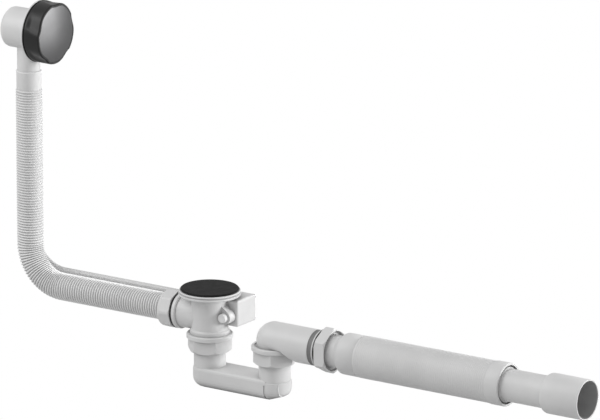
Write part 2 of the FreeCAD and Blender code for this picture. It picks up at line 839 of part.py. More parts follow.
def overflow_plate():
    """Clamping plate under the knob, with water slots and the bearing of the spindle."""
    back = seal_front_x
    front = back + plate_thick
    plate = turned([
        (knob_spindle_radius + running, back - 2.0), (plate_bush_radius, back - 2.0), (plate_bush_radius, back),
        (plate_radius, back), (plate_radius, front, 0.8), (plate_bush_radius, front, 1.0),
        (plate_bush_radius, back + plate_bush_length, 0.6),
        (knob_spindle_radius + running, back + plate_bush_length)], V(0, 0, overflow_height), X)
    cuts = []
    middle = (plate_slot_inner + plate_slot_outer) / 2
    half = (plate_slot_outer - plate_slot_inner) / 2
    for index in range(plate_slot_count):
        angle = 2 * math.pi * (index + 0.5) / plate_slot_count
        spot = V(0, math.cos(angle) * middle, overflow_height + math.sin(angle) * middle)
        cuts.append(rod(half, spot + X * (back - 1), spot + X * (front + 1)))
    for side in (-1, 1):
        spot = V(0, side * overflow_screw_pitch, overflow_height)
        cuts.append(rod(overflow_screw_radius + thread_play, spot + X * (back - 1), spot + X * (front + 1)))
    return plate.cut(cuts)


def overflow_screws():
    head_start = seal_front_x + plate_thick
    tip = head_start - overflow_screw_length
    screws = []
    for side in (-1, 1):
        spot = V(0, side * overflow_screw_pitch, overflow_height)
        screws.append(turned([
            (0, tip), (overflow_screw_radius, tip, 0.6), (overflow_screw_radius, head_start),
            (overflow_screw_head - 0.4, head_start), (overflow_screw_head - 0.4, head_start + 1.8, 0.7),
            (0, head_start + 1.8)], spot, X))
    return Part.makeCompound(screws)


# Control knob

def control_knob():
    """Round cap with a hollow back, a socket for the spindle and water notches at its underside."""
    axis = V(0, 0, overflow_height)
    back, front = knob_back_x, knob_front_x
    web = front - knob_face_thick - knob_wall
    shell = turned([
        (0, front - knob_face_thick), (knob_face_radius, front - knob_face_thick), (knob_face_radius, front),
        (knob_radius - knob_chamfer, front), (knob_radius, front - knob_chamfer), (knob_radius, back, 0.8),
        (knob_radius - knob_wall, back, 0.5), (knob_radius - knob_wall, web, 1.5), (0, web)], axis, X)
    boss_back = seal_front_x + plate_bush_length + working
    boss = rod(knob_boss_radius, axis + X * boss_back, axis + X * (web + 0.5))
    socket = rod(knob_spindle_radius, axis + X * (boss_back - 1), axis + X * (web - 0.5))
    notches = []
    for index in range(knob_notch_count):
        middle = -90 + (index - (knob_notch_count - 1) / 2) * knob_notch_angle
        notch = block((back - 1, knob_radius - 2 * knob_wall, -3.5), (back + knob_notch_depth, knob_radius + 1, 3.5))
        notch.rotate(V(0, 0, 0), X, middle)
        notch.translate(axis)
        notches.append(notch)
    return join(shell, boss).cut([socket] + notches)


def knob_face():
    """Slightly domed metal disc set in the knob's front."""
    low, rim = knob_front_x - knob_face_thick, knob_front_x - 0.2
    middle = (knob_face_radius ** 2 + knob_face_dome ** 2) / (2 * knob_face_dome)
    half = math.asin(knob_face_radius / middle) / 2
    bottom, apex = V(0, 0, low), V(0, 0, rim + knob_face_dome)
    between = V(middle * math.sin(half), 0, rim + knob_face_dome - middle + middle * math.cos(half))
    edge_low, edge_high = V(knob_face_radius, 0, low), V(knob_face_radius, 0, rim)
    outline = Part.Wire([
        Part.LineSegment(bottom, edge_low).toShape(), Part.LineSegment(edge_low, edge_high).toShape(),
        Part.Arc(edge_high, between, apex).toShape(), Part.LineSegment(apex, bottom).toShape()])
    face = Part.Face(outline).revolve(V(0, 0, 0), Z, 360)
    face.Placement = FreeCAD.Placement(V(0, 0, overflow_height), FreeCAD.Rotation(Z, X))
    return face


def knob_spindle():
    """Spindle from the knob to the crank disc and its pin inside the housing."""
    axis = V(0, 0, overflow_height)
    web = knob_front_x - knob_face_thick - knob_wall
    disc_back = wire_plane_x + fork_thick / 2 + working
    disc_front = disc_back + crank_disc_thick
    shaft = rod(knob_spindle_radius, axis + X * disc_front, axis + X * (web - 0.5))
    disc = rod(crank_disc_radius, axis + X * disc_back, axis + X * disc_front)
    spot = axis - Y * crank_throw
    pin = rod(crank_pin_radius, spot + X * (wire_plane_x - fork_thick / 2 - 0.6), spot + X * disc_back)
    return join(shaft, disc, pin)


def spindle_clip():
    """Ring clip that keeps the spindle in the plate."""
    back = seal_front_x - 2.0 - running - clip_thick
    axis = V(0, 0, overflow_height)
    ring = tube(clip_radius, knob_spindle_radius, axis + X * back, axis + X * (back + clip_thick))
    gap = block((back - 1, 0, overflow_height - 1.2), (back + clip_thick + 1, clip_radius + 1, overflow_height + 1.2))
    return ring.cut(gap)


def upper_fork():
    """Slotted end of the wire on the knob's crank pin."""
    pin_along = -crank_throw * math.sin(knob_half_turn)
    half = fork_block / 2
    slot = crank_pin_radius + fork_slot_play
    low_x, high_x = -fork_thick / 2, fork_thick / 2
    body = block((low_x, -half, -half), (high_x, half, half))
    window = block((low_x - 1, -slot, -slot - 0.6), (high_x + 1, slot, slot + 0.6))
    fork = body.cut(window)
    fork.Placement = FreeCAD.Placement(head_wire_point(pin_along), FreeCAD.Rotation(X, -45))
    wire = rod(wire_radius, head_wire_point(pin_along + half - 0.5), head_wire_point(sheath_start + fork_wire_reach))
    return join(fork, wire)


# Union nuts, washers and trap

def union_nut(centre_x, turn):
    """Union nut with a round collar above six flats."""
    top = -union_top_drop
    low = top - union_height
    collar_low = top - union_collar_height
    body = prism(union_corner_radius, union_sides, V(0, 0, low), Z, union_height, math.radians(turn))
    form = turned([
        (0, low), (union_chamfer_radius, low, 0.8), (union_corner_radius, low + union_chamfer_height, 1.5),
        (union_corner_radius, top), (0, top)])
    collar = turned([
        (0, collar_low - 1.4), (union_corner_radius - 1.8, collar_low - 1.4), (union_collar_radius, collar_low),
        (union_collar_radius, top, 1.0), (0, top)])
    bore = turned([
        (0, low - 1), (leg_radius + working, low - 1), (leg_radius + working, leg_top - leg_flange_thick),
        (thread_radius + thread_play, leg_top - leg_flange_thick), (thread_radius + thread_play, top - 1.5),
        (body_bead_radius + working, top - 1.2), (body_bead_radius + working, top + 1), (0, top + 1)])
    nut = join(body.common(form), collar).cut(bore)
    nut.translate(X * centre_x)
    return nut


def union_washer(centre_x):
    high = V(centre_x, 0, body_bottom)
    return tube(thread_radius - 0.3, leg_radius - leg_wall, high - Z * washer_thick, high)


def duct_section(half_width, top, low, low_round, top_round, centre_x=0.0):
    """Cross-section of the flat duct, standing across the trap."""
    wire = corner_wire([
        (-half_width, top, top_round), (-half_width, low, low_round),
        (half_width, low, low_round), (half_width, top, top_round)])
    face = Part.Face(wire)
    face.Placement = FreeCAD.Placement(V(centre_x, 0, 0), FreeCAD.Rotation(Z, 90))
    return face


def rounded_end(half_width, top, low, low_round, top_round):
    """Turned end of the duct, round seen from above."""
    wire = corner_wire([(0, top), (half_width, top, top_round), (half_width, low, low_round), (0, low)])
    return Part.Face(wire).revolve(V(0, 0, 0), Z, 360)


def trap_body():
    """Low U trap: two legs on a flat-topped duct, the far leg in a round foot behind a groove."""
    top, low = -duct_top_drop, -duct_bottom_drop
    section = (duct_half_width, top, low, duct_low_round, duct_top_round)
    duct = duct_section(*section).extrude(X * duct_end)
    near_end = rounded_end(*section)
    start, stop = foot_groove_start, foot_groove_start + foot_groove_width
    taper = Part.makeLoft([
        duct_section(duct_half_width, -foot_top_drop, low, duct_low_round, duct_top_round, duct_end).OuterWire,
        duct_section(duct_half_width - foot_taper_side, -foot_top_drop, low + foot_taper_rise,
                     duct_low_round - 3.0, duct_top_round, duct_end + foot_taper_length).OuterWire], True, True)
    depth = foot_groove_depth
    core = duct_section(duct_half_width - depth, top, low + depth, duct_low_round - depth, duct_top_round, start)
    groove = block((start, -duct_half_width - 5, low - 5), (stop, duct_half_width + 5, -foot_groove_top_drop))
    groove = groove.cut(core.extrude(X * foot_groove_width))
    foot = turned([
        (0, -foot_bottom_drop), (foot_radius, -foot_bottom_drop, foot_round), (foot_radius, -foot_top_drop, 0.8),
        (0, -foot_top_drop)], V(trap_span, 0, 0))
    legs = []
    flanges = []
    for centre_x in (0, trap_span):
        foot_point = V(centre_x, 0, top - duct_top_round - 1.0)
        legs.append(rod(leg_radius, foot_point, V(centre_x, 0, leg_top)))
        flanges.append(rod(thread_radius - 0.3, V(centre_x, 0, leg_top - leg_flange_thick), V(centre_x, 0, leg_top)))
    wall = duct_wall
    inner = (duct_half_width - wall, top - wall, low + wall, duct_low_round - wall, duct_top_round - wall)
    way = duct_section(*inner).extrude(X * (duct_end - wall))
    near_way = rounded_end(*inner)
    foot_way = turned([
        (0, -foot_bottom_drop + wall), (leg_radius - leg_wall, -foot_bottom_drop + wall, foot_round - wall),
        (leg_radius - leg_wall, -foot_top_drop), (0, -foot_top_drop)], V(trap_span, 0, 0))
    bores = [
        rod(leg_radius - leg_wall, V(0, 0, top - wall - 2.0), V(0, 0, leg_top + 1)),
        rod(leg_radius - leg_wall, V(trap_span, 0, -foot_top_drop - 1.0), V(trap_span, 0, leg_top + 1))]
    solid = join(duct, near_end, taper, foot, *(legs + flanges))
    return solid.cut([way, near_way, foot_way, groove] + bores)


def elbow_form(radius, limb_radius, shoulder_drop, low, end_x):
    """Ball-cornered bend whose underside steps over the union nut."""
    corner = V(trap_span, 0, outlet_z)
    ball = Part.makeSphere(radius, corner)
    limb = rod(limb_radius, V(trap_span, 0, low), corner)
    barrel = rod(radius, corner, V(end_x, 0, outlet_z))
    deep = outlet_z - radius - 1.0
    under = rod(limb_radius, V(trap_span, 0, deep), V(trap_span, 0, low))
    slope_end = elbow_slope_reach + radius - elbow_radius
    reach = elbow_shoulder_reach + radius - elbow_radius
    step = turned([
        (limb_radius, -shoulder_drop), (reach, -shoulder_drop, 4.0), (slope_end, outlet_z - radius),
        (slope_end, deep), (limb_radius, deep)], V(trap_span, 0, 0))
    return join(join(ball, barrel).cut([step, under]), limb)


def outlet_elbow():
    outer = elbow_form(elbow_radius, elbow_radius - 0.2, elbow_shoulder_drop, -union_top_drop - 3.0, elbow_end)
    thread = rod(thread_radius, V(trap_span, 0, body_bottom), V(trap_span, 0, -union_top_drop - 3.0))
    neck = rod(elbow_thread_radius, V(elbow_end - 1, 0, outlet_z), V(elbow_thread_end, 0, outlet_z))
    inner_radius = pipe_radius + thread_play
    way = elbow_form(inner_radius, inner_radius - 0.4, elbow_shoulder_drop - elbow_wall, body_bottom - 1,
                     elbow_thread_end + 1)
    return join(outer, thread, neck).cut(way)


def clamp_ring():
    start = V(clamp_ring_start, 0, outlet_z)
    return turned([
        (elbow_thread_radius, 0), (clamp_ring_radius, 0, 0.5), (clamp_ring_radius, clamp_ring_thick, 0.5),
        (elbow_thread_radius, clamp_ring_thick)], start, X)


def elbow_band():
    """Dark band between the elbow's end and the clamp ring."""
    start = V(elbow_end, 0, outlet_z)
    return tube(elbow_band_radius, elbow_thread_radius, start, V(clamp_ring_start, 0, outlet_z))


def elbow_nut():
    """Six-sided nut on the elbow's thread, recessed round the pipe."""
    start = V(elbow_nut_start, 0, outlet_z)
    length, chamfer = elbow_nut_length, elbow_nut_chamfer
    body = prism(elbow_nut_corner_radius, union_sides, start, X, length, math.radians(30))
    corner = elbow_nut_corner_radius
    form = turned([
        (0, 0), (corner - chamfer * 1.3, 0), (corner, chamfer), (corner, length - chamfer),
        (corner - chamfer * 1.3, length), (0, length)], start, X)
    bore = turned([
        (0, -1), (elbow_thread_radius + thread_play, -1),
        (elbow_thread_radius + thread_play, elbow_thread_end - elbow_nut_start + working),
        (pipe_radius + working, elbow_thread_end - elbow_nut_start + working),
        (pipe_radius + working, length - elbow_nut_recess),
        (elbow_nut_recess_radius, length - elbow_nut_recess), (elbow_nut_recess_radius, length + 1),
        (0, length + 1)], start, X)
    return body.common(form).cut(bore)


def elbow_seal():
    """Black seal squeezed between the clamp ring and the nut."""
    start = V(clamp_ring_start + clamp_ring_thick, 0, outlet_z)
    return tube(clamp_ring_radius - 1.2, elbow_thread_radius, start, V(elbow_nut_start, 0, outlet_z))


# Outlet pipe

def expanding_pipe():
    """Pipe with collars at both ends and compressed folds between them."""
    count = max(1, round((fold_end - fold_start) / fold_pitch))
    half_pitch = (fold_end - fold_start) / count / 2
    outside = [
        (pipe_radius, pipe_start), (pipe_radius, start_flare, 3.0), (start_collar_radius, start_collar, 3.0),
        (start_collar_radius, fold_start - 1.6, 0.6), (fold_root, fold_start - 0.6)]
    outside += ribbed(fold_crest, fold_root, fold_start, count, half_pitch)
    outside += [
        (end_collar_radius, fold_end + 1.2, 0.6), (end_collar_radius, end_collar_end, 0.8)]
    inner = pipe_radius - pipe_wall
    socket = connector_radius + thread_play
    inside = [
        (end_collar_recess_radius, end_collar_end), (end_collar_recess_radius, end_collar_end - end_collar_recess),
        (socket, end_collar_end - end_collar_recess), (socket, fold_end + 2.0), (fold_bore, fold_end + 1.0),
        (fold_bore, start_collar + 2.0), (inner, start_flare), (inner, pipe_start)]
    return turned(outside + inside, V(0, 0, outlet_z), X)


def end_seal():
    stop = end_collar_end - end_collar_recess
    return turned([
        (connector_radius, stop), (end_seal_radius, stop), (end_seal_radius, stop + end_seal_thick, 0.8),
        (connector_radius, stop + end_seal_thick, 0.3)], V(0, 0, outlet_z), X)


def end_ring():
    start = end_collar_end - end_collar_recess + end_seal_thick
    return turned([
        (connector_radius, start), (end_ring_radius, start, 0.3), (end_ring_radius, start + end_ring_thick, 0.6),
        (connector_radius, start + end_ring_thick)], V(0, 0, outlet_z), X)


def end_connector():
    """Connector with a 40 mm tail in the pipe and a 50 mm end for the drain."""
    tail_bore = connector_radius - connector_wall
    groove = end_collar_end + 3.0
    socket_back = outlet_mouth_x - socket_depth
    return turned([
        (tail_bore, connector_start), (connector_radius, connector_start, 0.5), (connector_radius, groove),
        (connector_radius - 0.6, groove + 0.3), (connector_radius - 0.6, groove + 1.3),
        (connector_radius, groove + 1.6), (connector_radius, connector_flare_start),
        (connector_radius + 1.4, connector_flare_start), (socket_radius, connector_flare_end, 4.0), (socket_radius, outlet_mouth_x, 0.5),
        (socket_bore, outlet_mouth_x, 0.5), (socket_bore, socket_back), (tail_bore, connector_flare_start)],
        V(0, 0, outlet_z), X)


parts = {
    "waste_flange": waste_flange,
    "bath_seal": bath_seal,
    "waste_body": waste_body,
    "shaft_plug": shaft_plug,
    "plug_disc": plug_disc,
    "plug_seal": plug_seal,
    "plug_stem": plug_stem,
    "lever_shaft": lever_shaft,
    "lift_lever": lift_lever,
    "crank": crank,
    "lower_fork": lower_fork,
    "mechanism_box": mechanism_box,
    "mechanism_cover": mechanism_cover,
    "cover_screws": cover_screws,
    "cable_sheath": cable_sheath,
    "cable_wire": cable_wire,
    "lower_cable_gland": lower_cable_gland,
    "upper_cable_gland": upper_cable_gland,
    "overflow_hose": overflow_hose,
    "hose_nut": hose_nut,
    "hose_seal": hose_seal,
    "overflow_housing": overflow_housing,
    "overflow_seal": overflow_seal,
    "overflow_plate": overflow_plate,
    "overflow_screws": overflow_screws,
    "control_knob": control_knob,
    "knob_face": knob_face,
    "knob_spindle": knob_spindle,
    "spindle_clip": spindle_clip,
    "upper_fork": upper_fork,
    "inlet_union_nut": lambda: union_nut(0, union_turn),
    "inlet_washer": lambda: union_washer(0),
    "outlet_union_nut": lambda: union_nut(trap_span, far_union_turn),
    "outlet_washer": lambda: union_washer(trap_span),
    "trap_body": trap_body,
    "outlet_elbow": outlet_elbow,
    "elbow_band": elbow_band,
    "clamp_ring": clamp_ring,
    "elbow_seal": elbow_seal,
    "elbow_nut": elbow_nut,
    "expanding_pipe": expanding_pipe,
    "end_seal": end_seal,
    "end_ring": end_ring,
    "end_connector": end_connector,
}

os.makedirs("parts", exist_ok=True)
for name, make in parts.items():
    shape = make()
    shape.exportStep("parts/" + name + ".step")
    print(name, len(shape.Solids), "solids", round(shape.Volume), "mm3", shape.isValid())
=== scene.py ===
# Bath waste and overflow: fine ribs and folds, materials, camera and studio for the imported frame.
import math

import bmesh
import bpy
from bpy.props import FloatProperty, FloatVectorProperty, IntProperty, PointerProperty
from mathutils import Matrix, Vector


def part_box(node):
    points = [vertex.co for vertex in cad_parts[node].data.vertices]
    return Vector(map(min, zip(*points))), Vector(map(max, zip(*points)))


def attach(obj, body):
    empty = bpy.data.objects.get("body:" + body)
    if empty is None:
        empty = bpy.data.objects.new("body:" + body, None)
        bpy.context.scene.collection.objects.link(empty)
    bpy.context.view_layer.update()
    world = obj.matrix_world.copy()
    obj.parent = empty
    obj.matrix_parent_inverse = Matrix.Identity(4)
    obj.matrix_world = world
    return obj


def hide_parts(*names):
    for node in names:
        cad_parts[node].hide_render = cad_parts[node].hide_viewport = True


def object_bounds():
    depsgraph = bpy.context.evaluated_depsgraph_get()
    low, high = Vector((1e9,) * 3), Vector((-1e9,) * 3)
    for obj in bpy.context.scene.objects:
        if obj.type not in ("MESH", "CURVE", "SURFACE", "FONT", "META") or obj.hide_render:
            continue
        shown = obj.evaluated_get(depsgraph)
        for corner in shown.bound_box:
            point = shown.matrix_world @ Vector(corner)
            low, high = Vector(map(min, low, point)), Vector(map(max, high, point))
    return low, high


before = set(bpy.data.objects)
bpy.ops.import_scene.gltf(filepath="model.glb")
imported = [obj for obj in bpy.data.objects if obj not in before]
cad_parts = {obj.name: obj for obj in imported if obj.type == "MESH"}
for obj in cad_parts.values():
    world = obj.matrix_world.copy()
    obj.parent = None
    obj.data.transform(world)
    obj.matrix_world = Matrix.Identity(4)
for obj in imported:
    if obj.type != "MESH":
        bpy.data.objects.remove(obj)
cad_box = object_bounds()

bl_info = {
    "name": "Bath Waste and Overflow",
    "version": (1, 0, 0),
    "blender": (4, 5, 0),
    "location": "View3D > Sidebar > Bath Waste",
    "description": "Fine detail, finishes and studio for a bath waste and overflow",
    "category": "Object",
}


def length(title, text, value):
    """A length property that a user can change."""
    return FloatProperty(name=title, description=text, default=value, min=0.0, precision=5,
                         unit="LENGTH")


def number(title, text, value):
    """A plain number, such as a strength, a share or an angle in degrees."""
    return FloatProperty(name=title, description=text, default=value)


def count(title, text, value):
    """A whole number of sides, steps or dips."""
    return IntProperty(name=title, description=text, default=value, min=3)


def colour(title, text, value):
    """A linear colour."""
    return FloatVectorProperty(name=title, description=text, default=value, min=0.0, max=1.0,
                               size=3, subtype="COLOR")


class HoseSettings(bpy.types.PropertyGroup):
    """Sizes of the ribbed overflow hose."""

    axis_x: length("Upright axis", "Distance of the upright stretch from the waste axis", 0.273)
    level_drop: length("Level drop", "How far the level stretch lies below the bath seat", 0.031)
    bend: length("Bend radius", "Radius of the bend's centre line", 0.050)
    crest: length("Crest radius", "Outer radius of a rib", 0.0168)
    root: length("Root radius", "Radius between two ribs", 0.0150)
    bore: length("Bore radius", "Inner radius", 0.0134)
    pitch: length("Upright pitch", "Distance from rib to rib above the bend and in it", 0.00341)
    level_pitch: length("Level pitch", "Distance from rib to rib in the level stretch", 0.00353)
    cuff_top: length("Cuff top", "Height of the smooth cuff's upper edge", 0.2425)
    cuff_low: length("Cuff foot", "Height where the smooth cuff meets the ribs", 0.2185)
    cuff_radius: length("Cuff radius", "Outer radius of the smooth cuff", 0.0156)
    far_end: length("Level end", "Distance of the last rib from the waste axis", 0.066)
    sleeve_start: length("Sleeve start", "Where the plain sleeve in the nut begins", 0.0638)
    sleeve_end: length("Sleeve end", "Where the plain sleeve in the nut ends", 0.0488)
    sleeve_radius: length("Sleeve radius", "Outer radius of the plain sleeve", 0.0172)
    stub_radius: length("Stub radius", "Radius of the branch stub inside the sleeve", 0.0153)
    sides: count("Sides", "Faces round the hose", 44)
    steps: count("Steps per rib", "Rings that shape one rib", 8)
    # painted shade: the upright's cuff and ribs take a share of the painted groove shade, and its
    # grooves a weaker one
    upright_shade: number("Upright tone", "Share of the groove's shade on its cuff and ribs", 0.22)
    upright_gap: number("Upright grooves", "How much darker its grooves are", 0.32)


class PipeSettings(bpy.types.PropertyGroup):
    """Sizes of the folded outlet pipe."""

    drop: length("Axis drop", "How far the pipe's axis lies below the bath seat", 0.046)
    start: length("Start", "Where the pipe begins inside the elbow", 0.142)
    neck_radius: length("Neck radius", "Outer radius of the plain neck", 0.0202)
    neck_bore: length("Neck bore", "Inner radius of the plain neck", 0.0182)
    flare_start: length("Flare start", "Where the neck begins to widen", 0.195)
    flare_end: length("Flare end", "Where the first collar begins", 0.205)
    collar_radius: length("Collar radius", "Outer radius of the first collar", 0.0258)
    fold_start: length("First fold", "Where the folds begin", 0.229)
    fold_end: length("Last fold", "Where the folds end", 0.418)
    crest: length("Fold crest", "Outer radius of a fold", 0.0261)
    root: length("Fold root", "Radius between two folds", 0.0256)
    bore: length("Fold bore", "Inner radius behind the folds", 0.0232)
    pitch: length("Fold pitch", "Distance from fold to fold", 0.0027)
    end_radius: length("End collar radius", "Outer radius of the end collar", 0.0268)
    end: length("End", "Where the end collar ends", 0.4385)
    recess: length("Recess depth", "Depth of the seat for the seal", 0.005)
    recess_radius: length("Recess radius", "Radius of the seat for the seal", 0.024)
    socket_radius: length("Socket radius", "Radius that holds the connector", 0.0201)
    sides: count("Sides", "Faces round the pipe", 128)
    steps: count("Steps per fold", "Rings that shape one fold", 6)


class KnobSettings(bpy.types.PropertyGroup):
    """Sizes of the overflow knob with its finger dips."""

    height: length("Height", "Height of the knob's axis above the bath seat", 0.295)
    radius: length("Radius", "Outer radius between two dips", 0.0388)
    wall: length("Wall", "Thickness of the side", 0.0024)
    chamfer: length("Chamfer", "Bevel at the front edge", 0.0015)
    face_radius: length("Face radius", "Radius of the metal face", 0.0356)
    face_thick: length("Face depth", "Depth of the seat for the metal face", 0.0013)
    face_dome: length("Face dome", "Rise of the metal face at its middle", 0.0030)
    boss_radius: length("Boss radius", "Radius of the boss for the spindle", 0.0075)
    boss_drop: length("Boss drop", "How far the boss lies inside the back edge", 0.0090)
    spindle_radius: length("Socket radius", "Radius of the socket for the spindle", 0.0040)
    dips: count("Dips", "Finger dips round the side", 5)
    dip_depth: length("Dip depth", "Depth of a finger dip", 0.0019)
    dip_slow: number("Dip run in", "Angle over which a dip deepens", 25.0)
    dip_steep: number("Dip run out", "Angle over which it ends in a ridge", 13.0)
    dip_twist: number("Dip twist", "Angle that a dip turns back from front to back", 13.5)
    notch_depth: length("Notch depth", "Depth of the water notches at the underside", 0.0030)
    notch_step: number("Notch step", "Angle between two notches", 26.0)
    notch_half: number("Notch half width", "Half the angle of a notch", 5.2)
    sides: count("Sides", "Faces round the knob", 360)


class ConnectorSettings(bpy.types.PropertyGroup):
    """Sizes of the tail connector with its wider socket."""

    drop: length("Axis drop", "How far its axis lies below the bath seat", 0.046)
    start: length("Start", "Where its tail begins inside the pipe", 0.425)
    radius: length("Tail radius", "Outer radius of the tail", 0.020)
    bore: length("Tail bore", "Inner radius of the tail", 0.0178)
    step: length("Step", "Where the shoulder rises from the tail", 0.4965)
    step_radius: length("Step radius", "Radius at the foot of the shoulder", 0.0226)
    shoulder: length("Shoulder length", "Length of the rounded shoulder", 0.0050)
    socket_radius: length("Socket radius", "Outer radius of the socket", 0.025)
    socket_bore: length("Socket bore", "Inner radius of the socket", 0.0232)
    socket_depth: length("Socket depth", "Depth of the socket", 0.044)
    mouth: length("Mouth", "Where the socket ends", 0.551)
    sides: count("Sides", "Faces round the connector", 128)


class FinishSettings(bpy.types.PropertyGroup):
    """Colours of the finishes."""

    white: colour("White plastic", "Moulded fittings", (0.72, 0.72, 0.72))
    light: colour("Light plastic", "Plug over the lever's shaft", (0.90, 0.90, 0.90))
    # painted shade: this grey stands for the shade inside the outlet socket and the end collar
    bore: colour("Bore", "Inside of the outlet socket and of the end collar", (0.36, 0.36, 0.36))
    hose: colour("Hose plastic", "Ribbed hose", (0.93, 0.93, 0.93))
    # painted shade between the ribs of the hose, where less light reaches
    groove: colour("Hose groove", "Between the ribs of the hose", (0.27, 0.27, 0.27))
    pipe: colour("Pipe plastic", "Folded pipe", (0.69, 0.69, 0.69))
    sheath: colour("Cable sheath", "Cable sheath", (0.64, 0.64, 0.64))
    grey: colour("Grey plastic", "Stem and lever", (0.30, 0.30, 0.31))
    black: colour("Black plastic", "Side of the knob", (0.013, 0.013, 0.013))
    matt_black: colour("Matt black", "Plug disc", (0.009, 0.009, 0.009))
    rubber: colour("Rubber", "Seals", (0.018, 0.018, 0.018))
    seal_grey: colour("Grey seal", "Band behind the elbow's clamp ring", (0.20, 0.20, 0.20))
    seal_dark: colour("Dark seal", "Seal in the end collar", (0.10, 0.10, 0.10))
    seal_white: colour("White seal", "Bath seal", (0.46, 0.46, 0.46))
    satin: colour("Satin metal", "Face of the knob", (0.155, 0.155, 0.157))
    steel: colour("Steel", "Screws, shaft and wire", (0.56, 0.56, 0.57))
    brass: colour("Brass", "Forks and spindle", (0.62, 0.48, 0.24))


class StageSettings(bpy.types.PropertyGroup):
    """Camera, lamps and floor."""

    lens: FloatProperty(name="Lens", description="Focal length of the camera", default=480.0,
                        unit="CAMERA")
    camera_at: FloatVectorProperty(name="Camera", description="Place of the camera",
                                   default=(5.4057, -7.7895, 2.7647), subtype="TRANSLATION",
                                   unit="LENGTH")
    camera_back: FloatVectorProperty(name="Camera direction",
                                     description="From the object to the camera",
                                     default=(0.5396, -0.7974, 0.2702), subtype="DIRECTION")
    key: number("Key lamp", "Strength of the low lamp on the outlet side", 3.3)
    sheen: number("Sheen lamp", "Strength of its soft reflection", 1.5)
    front: number("Front lamp", "Strength of the high lamp in front", 0.72)
    near: number("Near lamp", "Strength of the lamp close to the overflow", 3.9)
    card: number("Card lamp", "Strength of the lamp that the knob's face mirrors", 2.4)
    sky: number("Sky", "Strength of the even light from all round", 0.56)
    floor_size: length("Floor size", "Half the width of the floor", 9.0)


# Shaped edges, as offsets along the axis and out from a radius

cuff_bead = ((0.0, -0.0003), (-0.0005, 0.0003), (-0.0012, 0.0007), (-0.0020, 0.0003), (-0.0026, 0.0))
collar_step = ((-0.0022, 0.0), (-0.0016, -0.0006))
end_collar_step = ((0.0012, -0.0006), (0.0018, -0.0001), (0.0026, 0.0))
end_collar_edge = ((-0.0010, 0.0), (-0.0003, -0.0003), (0.0, -0.0010))
tail_edge = ((0.0, -0.0005), (0.0005, 0.0))
shoulder_groove = ((-0.0014, 0.0), (-0.0012, -0.0004), (-0.0001, -0.0004))
mouth_edge = ((-0.0005, 0.0), (-0.0001, -0.0002), (0.0, -0.0005))
mouth_bore_edge = ((0.0, 0.0005), (-0.0005, 0.0))
knob_back_edge = ((0.0, -0.0008), (0.0003, -0.0002))

# Small lengths that shape the hose and the pipe, in metres

cuff_overlap = 0.0010
sleeve_lip = 0.0010
bore_step = 0.006
fold_margin = 0.0010
inner_step = 0.001

# Small lengths that shape the knob, in metres

core_radius = 0.02
dip_start = 0.0012
dip_fade = 0.0070
fade_step = 0.0006
fade_rows = range(2, 15)
plain_rows = (0.013, 0.017)
back_relief = 0.0005
web_relief = 0.0005
face_play = 0.00005
face_sink = 0.0002
weld_distance = 0.0000002

# How square a rounded rib is: 1 is a plain wave, and less is a flatter crest

# groove_flat shapes the painted groove shade across a rib, not the rib itself
groove_flat = 0.5
rib_flat = 0.9
fold_flat = 0.8

# Share of the upright and of the bend between which the painted groove shade grows to full strength

shade_rise_from = 0.6
shade_rise_to = 0.5

along_pipe = Vector((1.0, 0.0, 0.0))
straight_down = Vector((0.0, 0.0, -1.0))


# Mesh helpers

def edge_at(place, radius, offsets):
    """A shaped edge, set at a place and a radius of an outline."""
    return [(place + along, radius + out) for along, out in offsets]


def ease(share):
    """Smooth rise from 0 to 1."""
    return share * share * (3 - 2 * share)


def clamped(value):
    """A value held between 0 and 1."""
    return min(1.0, max(0.0, value))


def rib_shape(phase, flat):
    """Height of a rounded rib, 0 between two ribs and 1 on the crest."""
    return (0.5 - 0.5 * math.cos(math.tau * phase)) ** flat


def ring_loop(name, rings, sides):
    """Closed skin over rings of (centre, heading, radius), out along the outside and back inside."""
    points = []
    faces = []
    for centre, heading, radius in rings:
        sideways = Vector((0.0, 1.0, 0.0))
        upward = heading.cross(sideways).normalized()
        for index in range(sides):
            angle = math.tau * index / sides
            points.append(centre + (sideways * math.cos(angle) + upward * math.sin(angle)) * radius)
    total = len(rings)
    for row in range(total):
        near = row * sides
        far = (row + 1) % total * sides
        for index in range(sides):
            after = (index + 1) % sides
            faces.append((near + index, near + after, far + after, far + index))
    mesh = bpy.data.meshes.new(name)
    mesh.from_pydata([tuple(point) for point in points], [], faces)
    mesh.validate()
    mesh.update()
    return mesh


def pipe_loop(name, outline, drop, sides):
    """Closed skin round a level axis below the bath seat, from places along it and radii."""
    rings = [(Vector((place, 0.0, -drop)), along_pipe, radius) for place, radius in outline]
    return ring_loop(name, rings, sides)


def dipped_loop(name, outline, size, radius_at, along_at):
    """Closed skin round the knob's axis, where radius and place along it depend on the angle."""
    shape = bmesh.new()
    rows = []
    for along, radius in outline:
        row = []
        for index in range(size.sides):
            turn = 360.0 * index / size.sides
            place = along_at(along, radius, turn)
            reach = radius_at(place, radius, turn)
            angle = math.radians(turn)
            spot = (place, reach * math.cos(angle), size.height + reach * math.sin(angle))
            row.append(shape.verts.new(spot))
        rows.append(row)
    for near, far in zip(rows, rows[1:] + rows[:1]):
        for index in range(size.sides):
            after = (index + 1) % size.sides
            shape.faces.new((near[index], near[after], far[after], far[index]))
    bmesh.ops.remove_doubles(shape, verts=shape.verts, dist=weld_distance)
    loose = [edge for edge in shape.edges if not edge.link_faces]
    bmesh.ops.delete(shape, geom=loose, context="EDGES")
    bmesh.ops.recalc_face_normals(shape, faces=shape.faces)
    mesh = bpy.data.meshes.new(name)
    shape.to_mesh(mesh)
    shape.free()
    return mesh


def mark_ring_shade(mesh, name, values, sides):
    """Stores one value for each ring of a ring loop, for its finish to read."""
    layer = mesh.attributes.new(name, "FLOAT", "POINT")
    layer.data.foreach_set("value", [value for value in values for _ in range(sides)])


